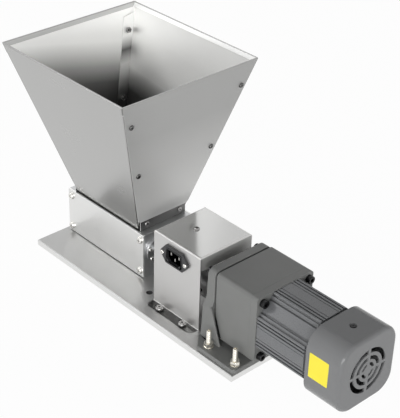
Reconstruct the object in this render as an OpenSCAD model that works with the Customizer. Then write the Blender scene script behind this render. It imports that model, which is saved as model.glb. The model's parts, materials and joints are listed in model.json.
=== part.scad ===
// Electric grain mill: two fluted rollers under a stainless hopper, driven by a gear motor.
// Millimetres. +X runs along the base from the mill to the motor, +Y to the far side, +Z up.
// The origin is the centre of the base plate's underside.

/* [Base plate] */
// Length of the base plate
base_l = 372; // [360:1:420]
// Width of the base plate
base_w = 180; // [180:1:220]
// Thickness of the base plate
base_t = 8; // [7:0.5:12]
// Chamfer along the base plate's top edges
base_edge = 0.8; // [0.4:0.1:1.5]
// Length of the grain outlet in the base
outlet_l = 104; // [80:1:112]
// Width of the grain outlet in the base
outlet_w = 46; // [30:1:56]
// Diameter of the spare hole beside the cover
spare_d = 8.5; // [6:0.5:10]

/* [Mill body] */
// Distance from the base's left end to the mill's left end plate
mill_inset = 6; // [2:0.5:12]
// Free length between the two end plates
throat_l = 127; // [120:1:132]
// Free width between the two side plates
throat_w = 77; // [77:0.5:84]
// Thickness of each end plate
end_t = 13; // [12:0.5:16]
// Height of the mill body above the base
mill_h = 63.5; // [62:0.5:75]
// Thickness of each side plate
side_t = 2.5; // [2:0.1:4]
// Height of the side screws from the plate's top and bottom edges
side_screw_in = 9; // [7:0.5:12]

/* [Rollers] */
// Diameter of each roller over its flutes
roller_d = 37; // [34:0.5:37.4]
// Gap between the rollers at rest
roller_gap = 1; // [0.8:0.1:1.6]
// Height of the roller axes above the base
roller_h = 37; // [36:0.5:40]
// Gap between a roller's end and the end plate
roller_end_gap = 1; // [0.5:0.1:2]
// Number of flutes on a roller
flutes = 60; // [40:2:72]
// Depth of the flutes
flute_depth = 0.7; // [0.4:0.1:1]
// Radius of the roller journals
journal_r = 8; // [7:0.5:8.5]
// Outer radius of the drive roller's bushes
bush_r = 10.5; // [10:0.5:11.5]
// Radius of the bearing caps
cap_r = 18; // [17.5:0.5:18.5]
// Thickness of the bearing caps
cap_t = 4; // [3:0.5:6]
// Pitch radius of the cap screws
cap_screw_r = 14.4; // [14:0.1:14.8]

/* [Gap adjusters] */
// Radius of the eccentric adjusters
adjuster_r = 13; // [12:0.5:14]
// Eccentricity of the idler's bore in its adjusters
adjuster_ecc = 1.2; // [0.8:0.1:1.4]
// Radius of the adjusters' outer grips
grip_r = 15.5; // [15:0.5:16.5]
// Thickness of the adjusters' outer grips
grip_t = 7; // [5:0.5:10]

/* [Hopper] */
// Length of the hopper's mouth
mouth_l = 232; // [210:1:250]
// Width of the hopper's mouth
mouth_w = 211; // [190:1:230]
// Height of the hopper above the mill body
hopper_h = 212; // [190:1:240]
// Length of the hopper's foot at the mill's top
foot_l = 126.6; // [124:0.2:127]
// Width of the hopper's foot at the mill's top
foot_w = 70.6; // [68:0.2:72]
// Thickness of the hopper's sheet
sheet_t = 1.2; // [1:0.1:1.5]
// Height of the hem folded inward at the rim
hem_h = 6; // [5:0.5:12]
// Width of the inner corner flanges
flange_w = 17; // [15:0.5:22]
// Height of the collar that stands on the end plates
collar_h = 13; // [12:0.5:18]
// Depth of the front and rear panels inside the mill's throat
tongue_h = 5; // [3:0.5:6]
// Distance of the upper corner screws below the hopper's rim
hop_screw_top = 32.5; // [25:0.5:45]
// Distance between the upper and the lower corner screws
hop_screw_gap = 82.5; // [60:0.5:95]
// Distance of the corner screws from the hopper's corner
hop_screw_in = 9; // [8:0.5:11]

/* [Coupling cover] */
// Distance from the mill body to the cover
cover_gap = 43; // [38:0.5:46]
// Length of the cover along the base
cover_l = 82; // [78:0.5:86]
// Width of the cover
cover_w = 83; // [80:0.5:86]
// Height of the cover above the base
cover_h = 102; // [98:0.5:110]
// Thickness of the cover's sheet
cover_t = 1.5; // [1:0.1:2]
// Outer radius of the cover's bends
cover_bend = 2.5; // [2:0.1:4]
// Width of the cover's foot flanges
cover_foot = 14; // [13:0.5:18]
// Height of the lips bent down at the cover's open ends
lip_h = 18; // [12:0.5:22]
// Distance between the two screws of a cover foot
cover_screw_gap = 41.5; // [36:0.5:50]

/* [Power inlet] */
// Distance between the inlet's two screws
inlet_pitch = 40; // [40:0.5:41]
// Distance of the inlet's centre below the cover's top
inlet_drop = 20; // [18:0.5:24]
// Distance of the inlet's centre from the middle of the cover, towards the mill
inlet_off = 2; // [0:0.5:4]
// Thickness of the inlet's flange
inlet_flange_t = 3; // [2.5:0.1:4]
// Depth of the inlet's body behind the cover
inlet_depth = 20; // [18:0.5:22]
// Depth of the inlet's socket from its front
socket_depth = 16; // [14:0.5:17]

/* [Capacitor] */
// Diameter of the run capacitor
cap_can_d = 28; // [26:0.5:30]
// Length of the run capacitor
cap_can_l = 58; // [50:0.5:62]
// Distance of the clip's screw from the cover's left end
clip_screw_x = 31.5; // [28:0.5:36]

/* [Coupling] */
// Outer radius of the coupling hubs
hub_r = 19; // [17:0.5:20]
// Length of each coupling hub
hub_l = 20; // [18:0.5:22]
// Gap between the two hubs, which the spider fills
spider_gap = 12; // [10:0.5:14]
// Distance from the cover's left end to the mill's hub
hub_in = 18; // [16:0.5:20]
// Width of the square shaft keys
key_w = 5; // [4:0.5:5]

/* [Motor bracket] */
// Distance from the cover to the bracket's front
bracket_gap = 12; // [11:0.5:14]
// Thickness of the bracket's upright at its foot
bracket_t = 16.5; // [15:0.5:18]
// Lean of the upright's front face over its height
bracket_lean = 5; // [3:0.5:6]
// Width of the upright's lower half
bracket_w = 100; // [99:0.5:104]
// Height at which the upright narrows
bracket_waist = 56; // [50:1:66]
// Thickness of the bracket's foot
bracket_foot_t = 6; // [5:0.5:7]
// Length of the bracket's foot
bracket_foot_l = 76; // [74:0.5:76]
// Width of the bracket's foot
bracket_foot_w = 136; // [135:0.5:141]
// Cut of the foot's two front corners
bracket_corner = 15; // [8:1:16]
// Distance between the bracket's studs along the base
stud_gap_x = 44; // [40:0.5:46]
// Distance between the bracket's studs across the base
stud_gap_y = 117; // [116:0.5:120]
// Radius of the bracket's studs
stud_r = 3; // [2.5:0.1:3]
// Height of the studs above the bracket's foot
stud_h = 23; // [18:0.5:28]

/* [Gear motor] */
// Width of the gearbox's and the fan cover's square frame
frame_w = 90; // [89:0.5:91]
// Distance between neighbouring corner bolts of the frame
bolt_sq = 73.5; // [72:0.5:74]
// Distance of the output shaft below the motor's axis
out_off = 18; // [17.5:0.1:18]
// Length of the gearbox housing
gear_l = 58; // [57.5:0.5:60]
// Thickness of the motor's front flange
flange_t = 10; // [9:0.5:12]
// Length of the finned motor body
motor_l = 79.5; // [78:0.5:90]
// Width of the finned motor body across its flats
motor_flats = 88; // [86:0.5:89]
// Width of the motor body's upright and level faces
motor_face = 40; // [38:0.5:44]
// Length of the fan cover
fan_cover_l = 50; // [46:0.5:56]
// Overlap of the fan cover over the motor body
fan_overlap = 4; // [3:0.5:5]
// Corner radius of the fan cover
fan_corner_r = 24; // [20:0.5:28]
// Wall of the fan cover
fan_wall = 2.5; // [2:0.1:2.8]
// Depth of the cooling grooves in the motor body
fin_depth = 2.6; // [1.5:0.1:3]
// Width of the cooling grooves
fin_w = 2; // [1.5:0.1:2.2]
// Radius of the output shaft
out_shaft_r = 7.5; // [7:0.1:7.5]
// Radius of the rotor shaft
rotor_shaft_r = 6; // [5:0.1:6]
// Radius of the cooling fan
fan_r = 33; // [30:0.5:34]

/* [Gears] */
// Tooth module of the gear train
gear_m = 0.8; // [0.8:0.01:0.82]
// Teeth on the motor pinion
teeth_1 = 12; // [12:1:12]
// Teeth on the intermediate wheel
teeth_2 = 36; // [36:1:36]
// Teeth on the intermediate pinion
teeth_3 = 14; // [14:1:14]
// Teeth on the output wheel
teeth_4 = 42; // [42:1:42]
// Tooth thinning of each gear for backlash
backlash = 0.12; // [0.08:0.01:0.2]

/* [Fits] */
// Radial running clearance of a shaft in its bearing
run_gap = 0.05; // [0.03:0.01:0.1]
// Radial clearance of a screw in its hole
screw_gap = 0.05; // [0.03:0.01:0.1]

/* [Hidden] */
$fn = 64;
sin45 = sin(45);

base_top = base_t;
mill_x0 = -base_l / 2 + mill_inset;
mill_x = mill_x0 + end_t + throat_l / 2;
mill_x1 = mill_x0 + 2 * end_t + throat_l;
mill_top = base_top + mill_h;
side_y = throat_w / 2;

roller_y = (roller_d + roller_gap) / 2;
axis_z = base_top + roller_h;
drive_y = -roller_y;
adjuster_z = axis_z - adjuster_ecc;
roller_l = throat_l - 2 * roller_end_gap;
roller_r = roller_d / 2;
cap_screw_phase = 40;

cover_x0 = mill_x1 + cover_gap;
cover_x1 = cover_x0 + cover_l;
cover_x = (cover_x0 + cover_x1) / 2;
cover_y0 = drive_y - cover_w / 2;
cover_y1 = drive_y + cover_w / 2;
cover_top = base_top + cover_h;
cover_screw_y = 8.2;

motor_y = drive_y;
motor_z = axis_z + out_off;
bracket_x0 = cover_x1 + bracket_gap;
gear_x0 = bracket_x0 + bracket_t;
flange_x0 = gear_x0 + gear_l;
motor_x0 = flange_x0 + flange_t;
motor_x1 = motor_x0 + motor_l;
fan_x0 = motor_x1 - fan_overlap;
fan_x1 = fan_x0 + fan_cover_l;
bolt_h = bolt_sq / 2;

hub_a_x0 = cover_x0 + hub_in;
hub_a_x1 = hub_a_x0 + hub_l;
hub_b_x0 = hub_a_x1 + spider_gap;

// Gear centres in the Y and Z plane: the two stages meet at the intermediate axis
c12 = gear_m * (teeth_1 + teeth_2) / 2;
c34 = gear_m * (teeth_3 + teeth_4) / 2;
mid_dz = (c34 * c34 - c12 * c12 - out_off * out_off) / (2 * out_off);
mid_dy = sqrt(c12 * c12 - mid_dz * mid_dz);
mid_y = motor_y + mid_dy;
mid_z = motor_z + mid_dz;
ang12 = atan2(mid_dz, mid_dy);
ang34 = atan2(axis_z - mid_z, motor_y - mid_y);
gear4_in = 25.5;
gear4_t = 11;
gear_space = 4;
gear_end_gap = 0.5;
gear2_t = 8;
gear4_x = gear_x0 + gear4_in;
gear2_x = gear4_x + gear4_t + gear_space;

// Puts a child that is drawn in the X and Y plane into the Y and Z plane, rising along +X
module along_x(x, y, z) {
    translate([x, y, z]) rotate([90, 0, 90]) children();
}

// Solid bar along X
module bar(x0, x1, r, y, z) {
    along_x(x0, y, z) cylinder(h = x1 - x0, r = r);
}

// Tube along X
module tube(x0, x1, r_out, r_in, y, z) {
    difference() {
        bar(x0, x1, r_out, y, z);
        bar(x0 - 1, x1 + 1, r_in, y, z);
    }
}

// Rectangle with round corners, centred
module round_rect(w, h, r) {
    square([w - 2 * r, h], center = true);
    square([w, h - 2 * r], center = true);
    for (sx = [-1, 1], sy = [-1, 1])
        translate([sx * (w / 2 - r), sy * (h / 2 - r)]) circle(r = r);
}

// Square block of width w rising along +Z, with corners of radius r and its upper edge rounded by e
module round_block(h, w, r, e) {
    for (sx = [-1, 1], sy = [-1, 1]) translate([sx * (w / 2 - r), sy * (w / 2 - r), 0])
        rotate_extrude() {
            square([r, h - e]);
            square([r - e, h]);
            intersection() {
                translate([r - e, h - e]) circle(r = e);
                square([r, h]);
            }
        }
    for (a = [0, 90]) rotate([0, 0, a]) translate([0, w / 2 - r, 0]) rotate([90, 0, 0])
        linear_extrude(w - 2 * r) {
            translate([-w / 2, 0]) square([w, h - e]);
            translate([-w / 2 + e, 0]) square([w - 2 * e, h]);
            for (s = [-1, 1]) translate([s * (w / 2 - e), h - e]) circle(r = e);
        }
}

// Screw with a domed head and a cross recess; the head's underside is at the origin
module pan_screw(r, l, head_r, head_h) {
    difference() {
        union() {
            cylinder(h = head_h * 0.55, r = head_r);
            translate([0, 0, head_h * 0.55]) cylinder(h = head_h * 0.45, r1 = head_r, r2 = head_r * 0.72);
            translate([0, 0, -l]) cylinder(h = l, r = r);
        }
        for (a = [0, 90]) rotate([0, 0, a])
            translate([-head_r * 0.6, -head_r * 0.12, head_h * 0.5])
                cube([head_r * 1.2, head_r * 0.24, head_h]);
    }
}

// Socket head screw; the head's underside is at the origin
module socket_screw(r, l, head_r, head_h) {
    difference() {
        union() {
            cylinder(h = head_h, r = head_r);
            translate([0, 0, -l]) cylinder(h = l, r = r);
        }
        translate([0, 0, head_h * 0.45]) cylinder(h = head_h, r = head_r * 0.55, $fn = 6);
    }
}

// Hexagon nut on a thread of radius r, standing on the origin
module hex_nut(r, flats, h) {
    difference() {
        cylinder(h = h, r = flats / sqrt(3), $fn = 6);
        translate([0, 0, -1]) cylinder(h = h + 2, r = r + screw_gap);
    }
}

// Gear outline with involute flanks; tooth 0 points along +X
function inv(r, rb) = let (t = sqrt(max(0, r * r / (rb * rb) - 1))) t * 180 / PI - atan(t);
module gear_2d(n, add, ded, thin) {
    rp = gear_m * n / 2;
    rb = rp * cos(20);
    ra = rp + add;
    rf = rp - ded;
    r0 = max(rb, rf);
    half = 90 / n - thin / 2 / rp * 180 / PI + inv(rp, rb);
    rise = [for (k = [0:3]) r0 + (ra - r0) * k / 3];
    flank = [for (r = rise) [r, half - inv(r, rb)]];
    tooth = concat([[rf, -half - 0.4]], [for (p = flank) [p[0], -p[1]]],
        [for (k = [3:-1:0]) flank[k]], [[rf, half + 0.4]]);
    polygon([for (i = [0:n - 1], p = tooth) p[0] * [cos(i * 360 / n + p[1]), sin(i * 360 / n + p[1])]]);
}

// Outline of a fluted cylinder with narrow lands between V grooves
module fluted_2d(r, n, depth) {
    step = 360 / n;
    polygon([for (i = [0:n - 1], p = [[r, -0.24], [r, 0.24], [r - depth, 0.5]])
        p[0] * [cos((i + p[1]) * step), sin((i + p[1]) * step)]]);
}

outlet_r = 4;
stud_floor = 0.5;
spare_in_x = 14.5;
spare_in_y = 5.5;
module base_plate() {
    color("#b4b6b8") difference() {
        intersection() {
            rotate([90, 0, 90]) translate([0, 0, -base_l / 2]) linear_extrude(base_l)
                chamfered_edge(base_w);
            rotate([90, 0, 0]) translate([0, 0, -base_w / 2]) linear_extrude(base_w)
                chamfered_edge(base_l);
        }
        translate([mill_x, 0, -1]) linear_extrude(base_t + 2) round_rect(outlet_l, outlet_w, outlet_r);
        at_foot_screws() {
            translate([0, 0, -1]) cylinder(h = base_t + 2, r = foot_screw_r + screw_gap);
            translate([0, 0, -0.01])
                cylinder(h = foot_head_h + foot_sink, r1 = foot_head_r + foot_sink_gap, r2 = foot_screw_r);
        }
        at_cover_screws() translate([0, 0, -cover_screw_l])
            cylinder(h = cover_screw_l + 1, r = cover_screw_r + screw_gap);
        at_studs() translate([0, 0, stud_floor]) cylinder(h = base_t, r = stud_r + screw_gap);
        translate([cover_x0 - spare_in_x, cover_y0 + spare_in_y, -1])
            cylinder(h = base_t + 2, r = spare_d / 2);
    }
}

// Side view of the plate with its two upper edges chamfered
module chamfered_edge(w) {
    polygon([[-w / 2, 0], [w / 2, 0], [w / 2, base_t - base_edge], [w / 2 - base_edge, base_t],
        [-w / 2 + base_edge, base_t], [-w / 2, base_t - base_edge]]);
}

foot_screw_r = 2.5;
foot_head_r = 4.8;
foot_head_h = 2.4;
foot_sink = 0.2;
foot_sink_gap = 0.3;
foot_grip = 9;
foot_hex_r = 1.7;
foot_hex_depth = 1.4;
foot_screw_y = 21;
module at_foot_screws() {
    for (x = [mill_x0 + end_t / 2, mill_x1 - end_t / 2], y = [-foot_screw_y, foot_screw_y])
        translate([x, y, 0]) children();
}

module mill_foot_screws() {
    color("#c8c8c6") at_foot_screws() difference() {
        union() {
            translate([0, 0, foot_sink]) cylinder(h = foot_head_h, r1 = foot_head_r, r2 = foot_screw_r);
            translate([0, 0, foot_sink]) cylinder(h = base_t + foot_grip, r = foot_screw_r);
        }
        translate([0, 0, -1]) cylinder(h = 1 + foot_sink + foot_hex_depth, r = foot_hex_r, $fn = 6);
    }
}

// Places a child at each side screw, with its local +Z pointing out of the side plate
side_screw_r = 2.5;
side_screw_l = 12;
side_head_r = 4.8;
side_head_h = 2.8;
module at_side_screws() {
    for (x = [mill_x0 + end_t / 2, mill_x1 - end_t / 2],
        z = [side_screw_in, mill_h - side_screw_in], s = [-1, 1])
        translate([x, s * (side_y + side_t), base_top + z]) rotate([-90 * s, 0, 0]) children();
}

// Place of the bearing caps' screws on both end plates, local +Z pointing away from the mill
cap_screw_shank = 1.5;
cap_screw_l = 10;
small_head_r = 2.7;
small_head_h = 1.8;
module at_cap_screws() {
    for (a = [0:60:300]) {
        p = cap_screw_r * [cos(a + cap_screw_phase), sin(a + cap_screw_phase)];
        translate([mill_x1 + cap_t, drive_y + p[0], axis_z + p[1]]) rotate([0, 90, 0]) children();
        translate([mill_x0 - cap_t, drive_y + p[0], axis_z + p[1]]) rotate([0, -90, 0]) children();
    }
}

lock_r = 2.5;
lock_gap = 0.3;
module end_plate(x0) {
    difference() {
        translate([x0, -side_y, base_top]) cube([end_t, throat_w, mill_h]);
        bar(x0 - 1, x0 + end_t + 1, bush_r, drive_y, axis_z);
        bar(x0 - 1, x0 + end_t + 1, adjuster_r, roller_y, adjuster_z);
        at_side_screws() translate([0, 0, -side_screw_l - side_t])
            cylinder(h = side_screw_l + 2 * side_t, r = side_screw_r + screw_gap);
        at_foot_screws() cylinder(h = base_t + foot_grip + 1, r = foot_screw_r + screw_gap);
        at_cap_screws() translate([0, 0, -cap_screw_l - 2])
            cylinder(h = cap_screw_l + 3, r = cap_screw_shank + screw_gap);
        translate([x0 + end_t / 2, roller_y, adjuster_z]) rotate([-90, 0, 0])
            cylinder(h = throat_w, r = lock_r + screw_gap);
    }
}

module mill_end_left() { color("#8f9193") end_plate(mill_x0); }
module mill_end_right() { color("#8f9193") end_plate(mill_x1 - end_t); }

// Side plate, held by its screws a little above the base
side_lift = 1;
module side_plate(s) {
    difference() {
        translate([mill_x0, s > 0 ? side_y : -side_y - side_t, base_top + side_lift])
            cube([mill_x1 - mill_x0, side_t, mill_h - side_lift]);
        at_side_screws() translate([0, 0, -2 * side_t])
            cylinder(h = 3 * side_t, r = side_screw_r + screw_gap);
        if (s > 0) for (x = [mill_x0 + end_t / 2, mill_x1 - end_t / 2])
            translate([x, side_y - 1, adjuster_z]) rotate([-90, 0, 0])
                cylinder(h = side_t + 2, r = lock_r + screw_gap);
    }
}

module mill_side_front() { color("#d2d3d2") side_plate(-1); }
module mill_side_rear() { color("#d2d3d2") side_plate(1); }

module mill_side_screws() {
    color("#e6e6e4") at_side_screws() pan_screw(side_screw_r, side_screw_l, side_head_r, side_head_h);
}

module drive_bushes() {
    color("#b08d57") for (x0 = [mill_x0, mill_x1 - end_t])
        tube(x0, x0 + end_t, bush_r, journal_r + run_gap, drive_y, axis_z);
}

cap_bore_gap = 0.5;
module bearing_caps() {
    color("#9a9c9d") for (x0 = [mill_x0 - cap_t, mill_x1]) difference() {
        tube(x0, x0 + cap_t, cap_r, journal_r + cap_bore_gap, drive_y, axis_z);
        at_cap_screws() translate([0, 0, -2 * cap_t])
            cylinder(h = 3 * cap_t, r = cap_screw_shank + screw_gap);
    }
}

module bearing_cap_screws() {
    color("#d8d8d6") at_cap_screws() pan_screw(cap_screw_shank, cap_screw_l, small_head_r, small_head_h);
}

// Keyway or key on top of a shaft of radius r
module key(x0, l, r, y, z) {
    translate([x0, y - key_w / 2, z + r - key_w / 2]) cube([l, key_w, key_w]);
}

key_l = 14;
key_in = 2;
module drive_roller() {
    color("#9da0a2") difference() {
        union() {
            along_x(mill_x - roller_l / 2, drive_y, axis_z)
                linear_extrude(roller_l) fluted_2d(roller_r, flutes, flute_depth);
            bar(mill_x0 - cap_t, hub_a_x1, journal_r, drive_y, axis_z);
        }
        key(hub_a_x1 - key_in - key_l, key_l, journal_r, drive_y, axis_z);
    }
}

idler_journal = 12;
journal_end_gap = 0.5;
module idler_roller() {
    color("#9da0a2") {
        along_x(mill_x - roller_l / 2, roller_y, axis_z)
            linear_extrude(roller_l) fluted_2d(roller_r, flutes, flute_depth);
        bar(mill_x - throat_l / 2 - idler_journal, mill_x + throat_l / 2 + idler_journal,
            journal_r, roller_y, axis_z);
    }
}

// Eccentric adjuster for one end: s is 1 at the right end plate and -1 at the left one
adjuster_step = 0.1;
adjuster_neck = 2;
grip_flutes = 36;
grip_flute_depth = 0.6;
grip_slot_w = 2;
grip_slot_depth = 3;
module adjuster(s) {
    inner = mill_x + s * throat_l / 2;
    difference() {
        translate([inner, roller_y, adjuster_z]) rotate([0, s * 90, 0]) {
            cylinder(h = end_t, r = adjuster_r - run_gap);
            translate([0, 0, end_t + adjuster_step]) linear_extrude(grip_t)
                fluted_2d(grip_r, grip_flutes, grip_flute_depth);
            cylinder(h = end_t + 1, r = adjuster_r - adjuster_neck);
        }
        translate([inner, roller_y, axis_z]) rotate([0, s * 90, 0]) translate([0, 0, -1])
            cylinder(h = 1 + idler_journal + journal_end_gap, r = journal_r + run_gap);
        translate([inner + s * (end_t + adjuster_step + grip_t), roller_y, adjuster_z])
            cube([2 * grip_slot_depth, grip_slot_w, 1.6 * grip_r], center = true);
    }
}

module gap_adjuster_left() { color("#c4c6c8") adjuster(-1); }
module gap_adjuster_right() { color("#c4c6c8") adjuster(1); }

lock_knob_r = 6.5;
lock_knob_t = 7;
lock_flutes = 24;
lock_flute_depth = 0.5;
module adjuster_lock_screws() {
    shank = side_y + side_t - roller_y - adjuster_r - lock_gap;
    color("#d8d8d6") for (x = [mill_x0 + end_t / 2, mill_x1 - end_t / 2])
        translate([x, side_y + side_t, adjuster_z]) rotate([-90, 0, 0]) {
            translate([0, 0, -shank]) cylinder(h = shank + 1, r = lock_r);
            linear_extrude(lock_knob_t) fluted_2d(lock_knob_r, lock_flutes, lock_flute_depth);
        }
}

// Hopper panels. Each sheet is drawn flat, with its foot line on the X axis and rising along +Y,
// and is then leaned outwards. turn is 0 for the front panel, 90 right, 180 rear, 270 left.
lean_y = (mouth_w - foot_w) / 2;
lean_x = (mouth_l - foot_l) / 2;
tilt_y = atan(lean_y / hopper_h);
tilt_x = atan(lean_x / hopper_h);
slope_y = norm([lean_y, hopper_h]);
slope_x = norm([lean_x, hopper_h]);
sheet_x = sheet_t / cos(tilt_x);
rim_gap = 0.2;
corner_back = 1;
collar_lap = 0.2;
foot_rise = 0.3;
hem_in = 2.2 * sheet_x;

function on_y(turn) = turn == 0 || turn == 180;
module lean(turn) {
    translate([mill_x, 0, mill_top]) rotate([0, 0, turn])
        translate([0, on_y(turn) ? -foot_w / 2 : -foot_l / 2, 0])
            rotate([90 + (on_y(turn) ? tilt_y : tilt_x), 0, 0]) children();
}

// Half widths of the hopper at height z above the mill, along X and along Y
function half_x(z) = foot_l / 2 + z * lean_x / hopper_h;
function half_y(z) = foot_w / 2 + z * lean_y / hopper_h;

// Screw places along the hopper's corners, drawn in the plane of an end panel; s picks the corner
module at_corner_screws(turn, s) {
    for (z = [hopper_h - hop_screw_top - hop_screw_gap, hopper_h - hop_screw_top])
        lean(turn) translate([s * (half_y(z) - hop_screw_in), z / cos(tilt_x), 0]) children();
}

// Screw places on the upright collars; local +Z points away from the hopper
collar_screw_z = 8;
collar_in = 1.4;
collar_over = 0.9;
collar_half = half_y(0) + collar_over;
module at_collar_screws(turn, s) {
    translate([mill_x, 0, mill_top + collar_screw_z]) rotate([0, 0, turn])
        translate([s * (collar_half - hop_screw_in), -half_x(collar_h), 0]) rotate([90, 0, 0]) children();
}

hop_screw_r = 2;
module at_end_screws(turn) {
    for (s = [-1, 1]) {
        at_corner_screws(turn, s) children();
        at_collar_screws(turn, s) children();
    }
}

// Strip folded inward along a panel's rim, from half width low up to half width high
module hem(low, high, slope) {
    translate([0, 0, -2 * sheet_t]) linear_extrude(sheet_t + 0.01) polygon([
        [low - hem_in, slope - hem_h], [high - hem_in, slope],
        [-high + hem_in, slope], [-low + hem_in, slope - hem_h]]);
}

module hopper_side_panel(turn) {
    kink = collar_h;
    low = half_x(0) - sheet_x - collar_in;
    difference() {
        union() {
            lean(turn) translate([0, 0, -sheet_t]) linear_extrude(sheet_t) polygon([
                [-low, -tongue_h], [low, -tongue_h], [low, foot_rise],
                [half_x(kink) - sheet_x - rim_gap / 2, foot_rise],
                [half_x(kink) - sheet_x - rim_gap / 2, kink / cos(tilt_y)],
                [half_x(hopper_h) - sheet_x - rim_gap / 2, slope_y],
                [-half_x(hopper_h) + sheet_x + rim_gap / 2, slope_y],
                [-half_x(kink) + sheet_x + rim_gap / 2, kink / cos(tilt_y)],
                [-half_x(kink) + sheet_x + rim_gap / 2, foot_rise], [-low, foot_rise]]);
            lean(turn) hem(half_x(hopper_h - hem_h), half_x(hopper_h), slope_y);
            for (s = [-1, 1]) corner_flange(turn, s);
        }
        for (end = [90, 270]) at_end_screws(end)
            translate([0, 0, -hop_screw_l - 1]) cylinder(h = hop_screw_l + 3, r = hop_screw_r + screw_gap);
    }
}

// Flange of a front or rear panel, bent to lie inside the end panel next to it
flange_gap = 0.3;
flange_lift = 1.5;
flange_over = 10.5;
flange_cut = 5;
tab_lift = 1;
tab_drop = 0.4;
module corner_flange(turn, s) {
    end = (turn + s * 90 + 360) % 360;
    lo = collar_h + flange_lift;
    hi = hopper_h - hop_screw_top + flange_over;
    tab_y = half_y(2 * tab_lift) - flange_gap;
    side = -s;
    lean(end) translate([0, 0, -2 * sheet_t]) linear_extrude(sheet_t) polygon([
        [side * (half_y(lo) - flange_gap), lo / cos(tilt_x)],
        [side * (half_y(hi) - flange_gap), hi / cos(tilt_x)],
        [side * (half_y(hi - flange_cut) - flange_w), (hi - flange_cut) / cos(tilt_x)],
        [side * (half_y(lo) - flange_w), lo / cos(tilt_x)]]);
    translate([mill_x, 0, mill_top]) rotate([0, 0, end])
        translate([side > 0 ? collar_half - flange_w : -tab_y, -half_x(collar_h) + sheet_x, tab_lift])
            cube([flange_w + tab_y - collar_half, sheet_t, collar_h - tab_lift - tab_drop]);
}

module hopper_end_panel(turn) {
    half_kink = half_x(collar_h);
    difference() {
        union() {
            lean(turn) translate([0, 0, -sheet_t]) linear_extrude(sheet_t) polygon([
                [-half_y(collar_h) + corner_back, (collar_h - collar_lap) / cos(tilt_x)],
                [half_y(collar_h) - corner_back, (collar_h - collar_lap) / cos(tilt_x)],
                [half_y(hopper_h) - corner_back, slope_x], [-half_y(hopper_h) + corner_back, slope_x]]);
            lean(turn) hem(half_y(hopper_h - hem_h), half_y(hopper_h), slope_x);
            translate([mill_x, 0, mill_top]) rotate([0, 0, turn])
                translate([-collar_half, -half_kink, 0]) cube([2 * collar_half, sheet_x, collar_h + 0.1]);
        }
        at_end_screws(turn) translate([0, 0, -hop_screw_l - 1])
            cylinder(h = hop_screw_l + 3, r = hop_screw_r + screw_gap);
    }
}

module hopper_front() { color("#b9bab8") hopper_side_panel(0); }
module hopper_rear() { color("#b9bab8") hopper_side_panel(180); }
module hopper_right() { color("#adaeac") hopper_end_panel(90); }
module hopper_left() { color("#adaeac") hopper_end_panel(270); }

hop_screw_l = 7;
hop_head_r = 3.4;
hop_head_h = 2;
nut_h = 3;
nut_flats = 7;
module hopper_screws() {
    color("#d8d8d6") for (turn = [90, 270])
        at_end_screws(turn) pan_screw(hop_screw_r, hop_screw_l, hop_head_r, hop_head_h);
}

module hopper_nuts() {
    color("#d8d8d6") for (turn = [90, 270]) {
        for (s = [-1, 1]) {
            at_corner_screws(turn, s) translate([0, 0, -2 * sheet_t - nut_h])
                hex_nut(hop_screw_r, nut_flats, nut_h);
            at_collar_screws(turn, s) translate([0, 0, -sheet_x - sheet_t - nut_h])
                hex_nut(hop_screw_r, nut_flats, nut_h);
        }
    }
}

cover_screw_r = 2.5;
cover_screw_l = 7;
cover_head_r = 5;
cover_head_h = 3;
module at_cover_screws() {
    for (x = [cover_x - cover_screw_gap / 2, cover_x + cover_screw_gap / 2],
        y = [cover_y0 - cover_screw_y, cover_y1 + cover_screw_y])
        translate([x, y, base_top + cover_t]) children();
}

// Outline of the cover's walls and top, drawn in the Y and Z plane
module cover_2d(w, top, r) {
    translate([0, top - r]) {
        translate([-w / 2, -top + r]) square([w, top - r]);
        translate([-w / 2 + r, -1]) square([w - 2 * r, r + 1]);
        for (s = [-1, 1]) translate([s * (w / 2 - r), 0]) circle(r = r);
    }
}

cut_w = 28.4;
cut_h = 20.4;
cover_foot_r = 8;
lip_r = 4;
lip_side_gap = 1.5;

// Foot flange with its two outer corners rounded; s is 1 at the far side and -1 at the near one
module cover_foot_2d(s) {
    in_x = cover_l / 2 - cover_foot_r;
    straight = cover_foot - cover_foot_r;
    translate([-cover_l / 2, s > 0 ? 0 : -straight]) square([cover_l, straight]);
    translate([-in_x, s > 0 ? 0 : -cover_foot]) square([2 * in_x, cover_foot]);
    for (e = [-1, 1]) translate([e * in_x, s * straight]) circle(r = cover_foot_r);
}

module coupling_cover() {
    lip_w = cover_w - 2 * (cover_bend + lip_side_gap);
    color("#cfd0cf") difference() {
        union() {
            along_x(cover_x0, drive_y, base_top) linear_extrude(cover_l) difference() {
                cover_2d(cover_w, cover_h, cover_bend);
                cover_2d(cover_w - 2 * cover_t, cover_h - cover_t, cover_bend - cover_t);
            }
            for (s = [-1, 1]) translate([cover_x, s > 0 ? cover_y1 : cover_y0, base_top])
                linear_extrude(cover_t) cover_foot_2d(s);
            for (x = [cover_x0, cover_x1 - cover_t]) along_x(x, drive_y, cover_top - lip_h / 2)
                linear_extrude(cover_t) {
                    round_rect(lip_w, lip_h, lip_r);
                    translate([-lip_w / 2, 0]) square([lip_w, lip_h / 2 - 0.01]);
                }
        }
        at_cover_screws() translate([0, 0, -cover_t - 1])
            cylinder(h = cover_t + 2, r = cover_screw_r + screw_gap);
        at_inlet() translate([0, 0, -cover_t - 1]) linear_extrude(cover_t + 2)
            square([cut_w, cut_h], center = true);
        at_inlet_screws() translate([0, 0, -inlet_screw_l])
            cylinder(h = inlet_screw_l + 1, r = inlet_screw_r + screw_gap);
        at_clip_screw() translate([0, 0, -clip_screw_l])
            cylinder(h = clip_screw_l + 1, r = clip_screw_r + screw_gap);
    }
}

module cover_screws() {
    color("#d8d8d6") at_cover_screws() pan_screw(cover_screw_r, cover_screw_l, cover_head_r, cover_head_h);
}

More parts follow.
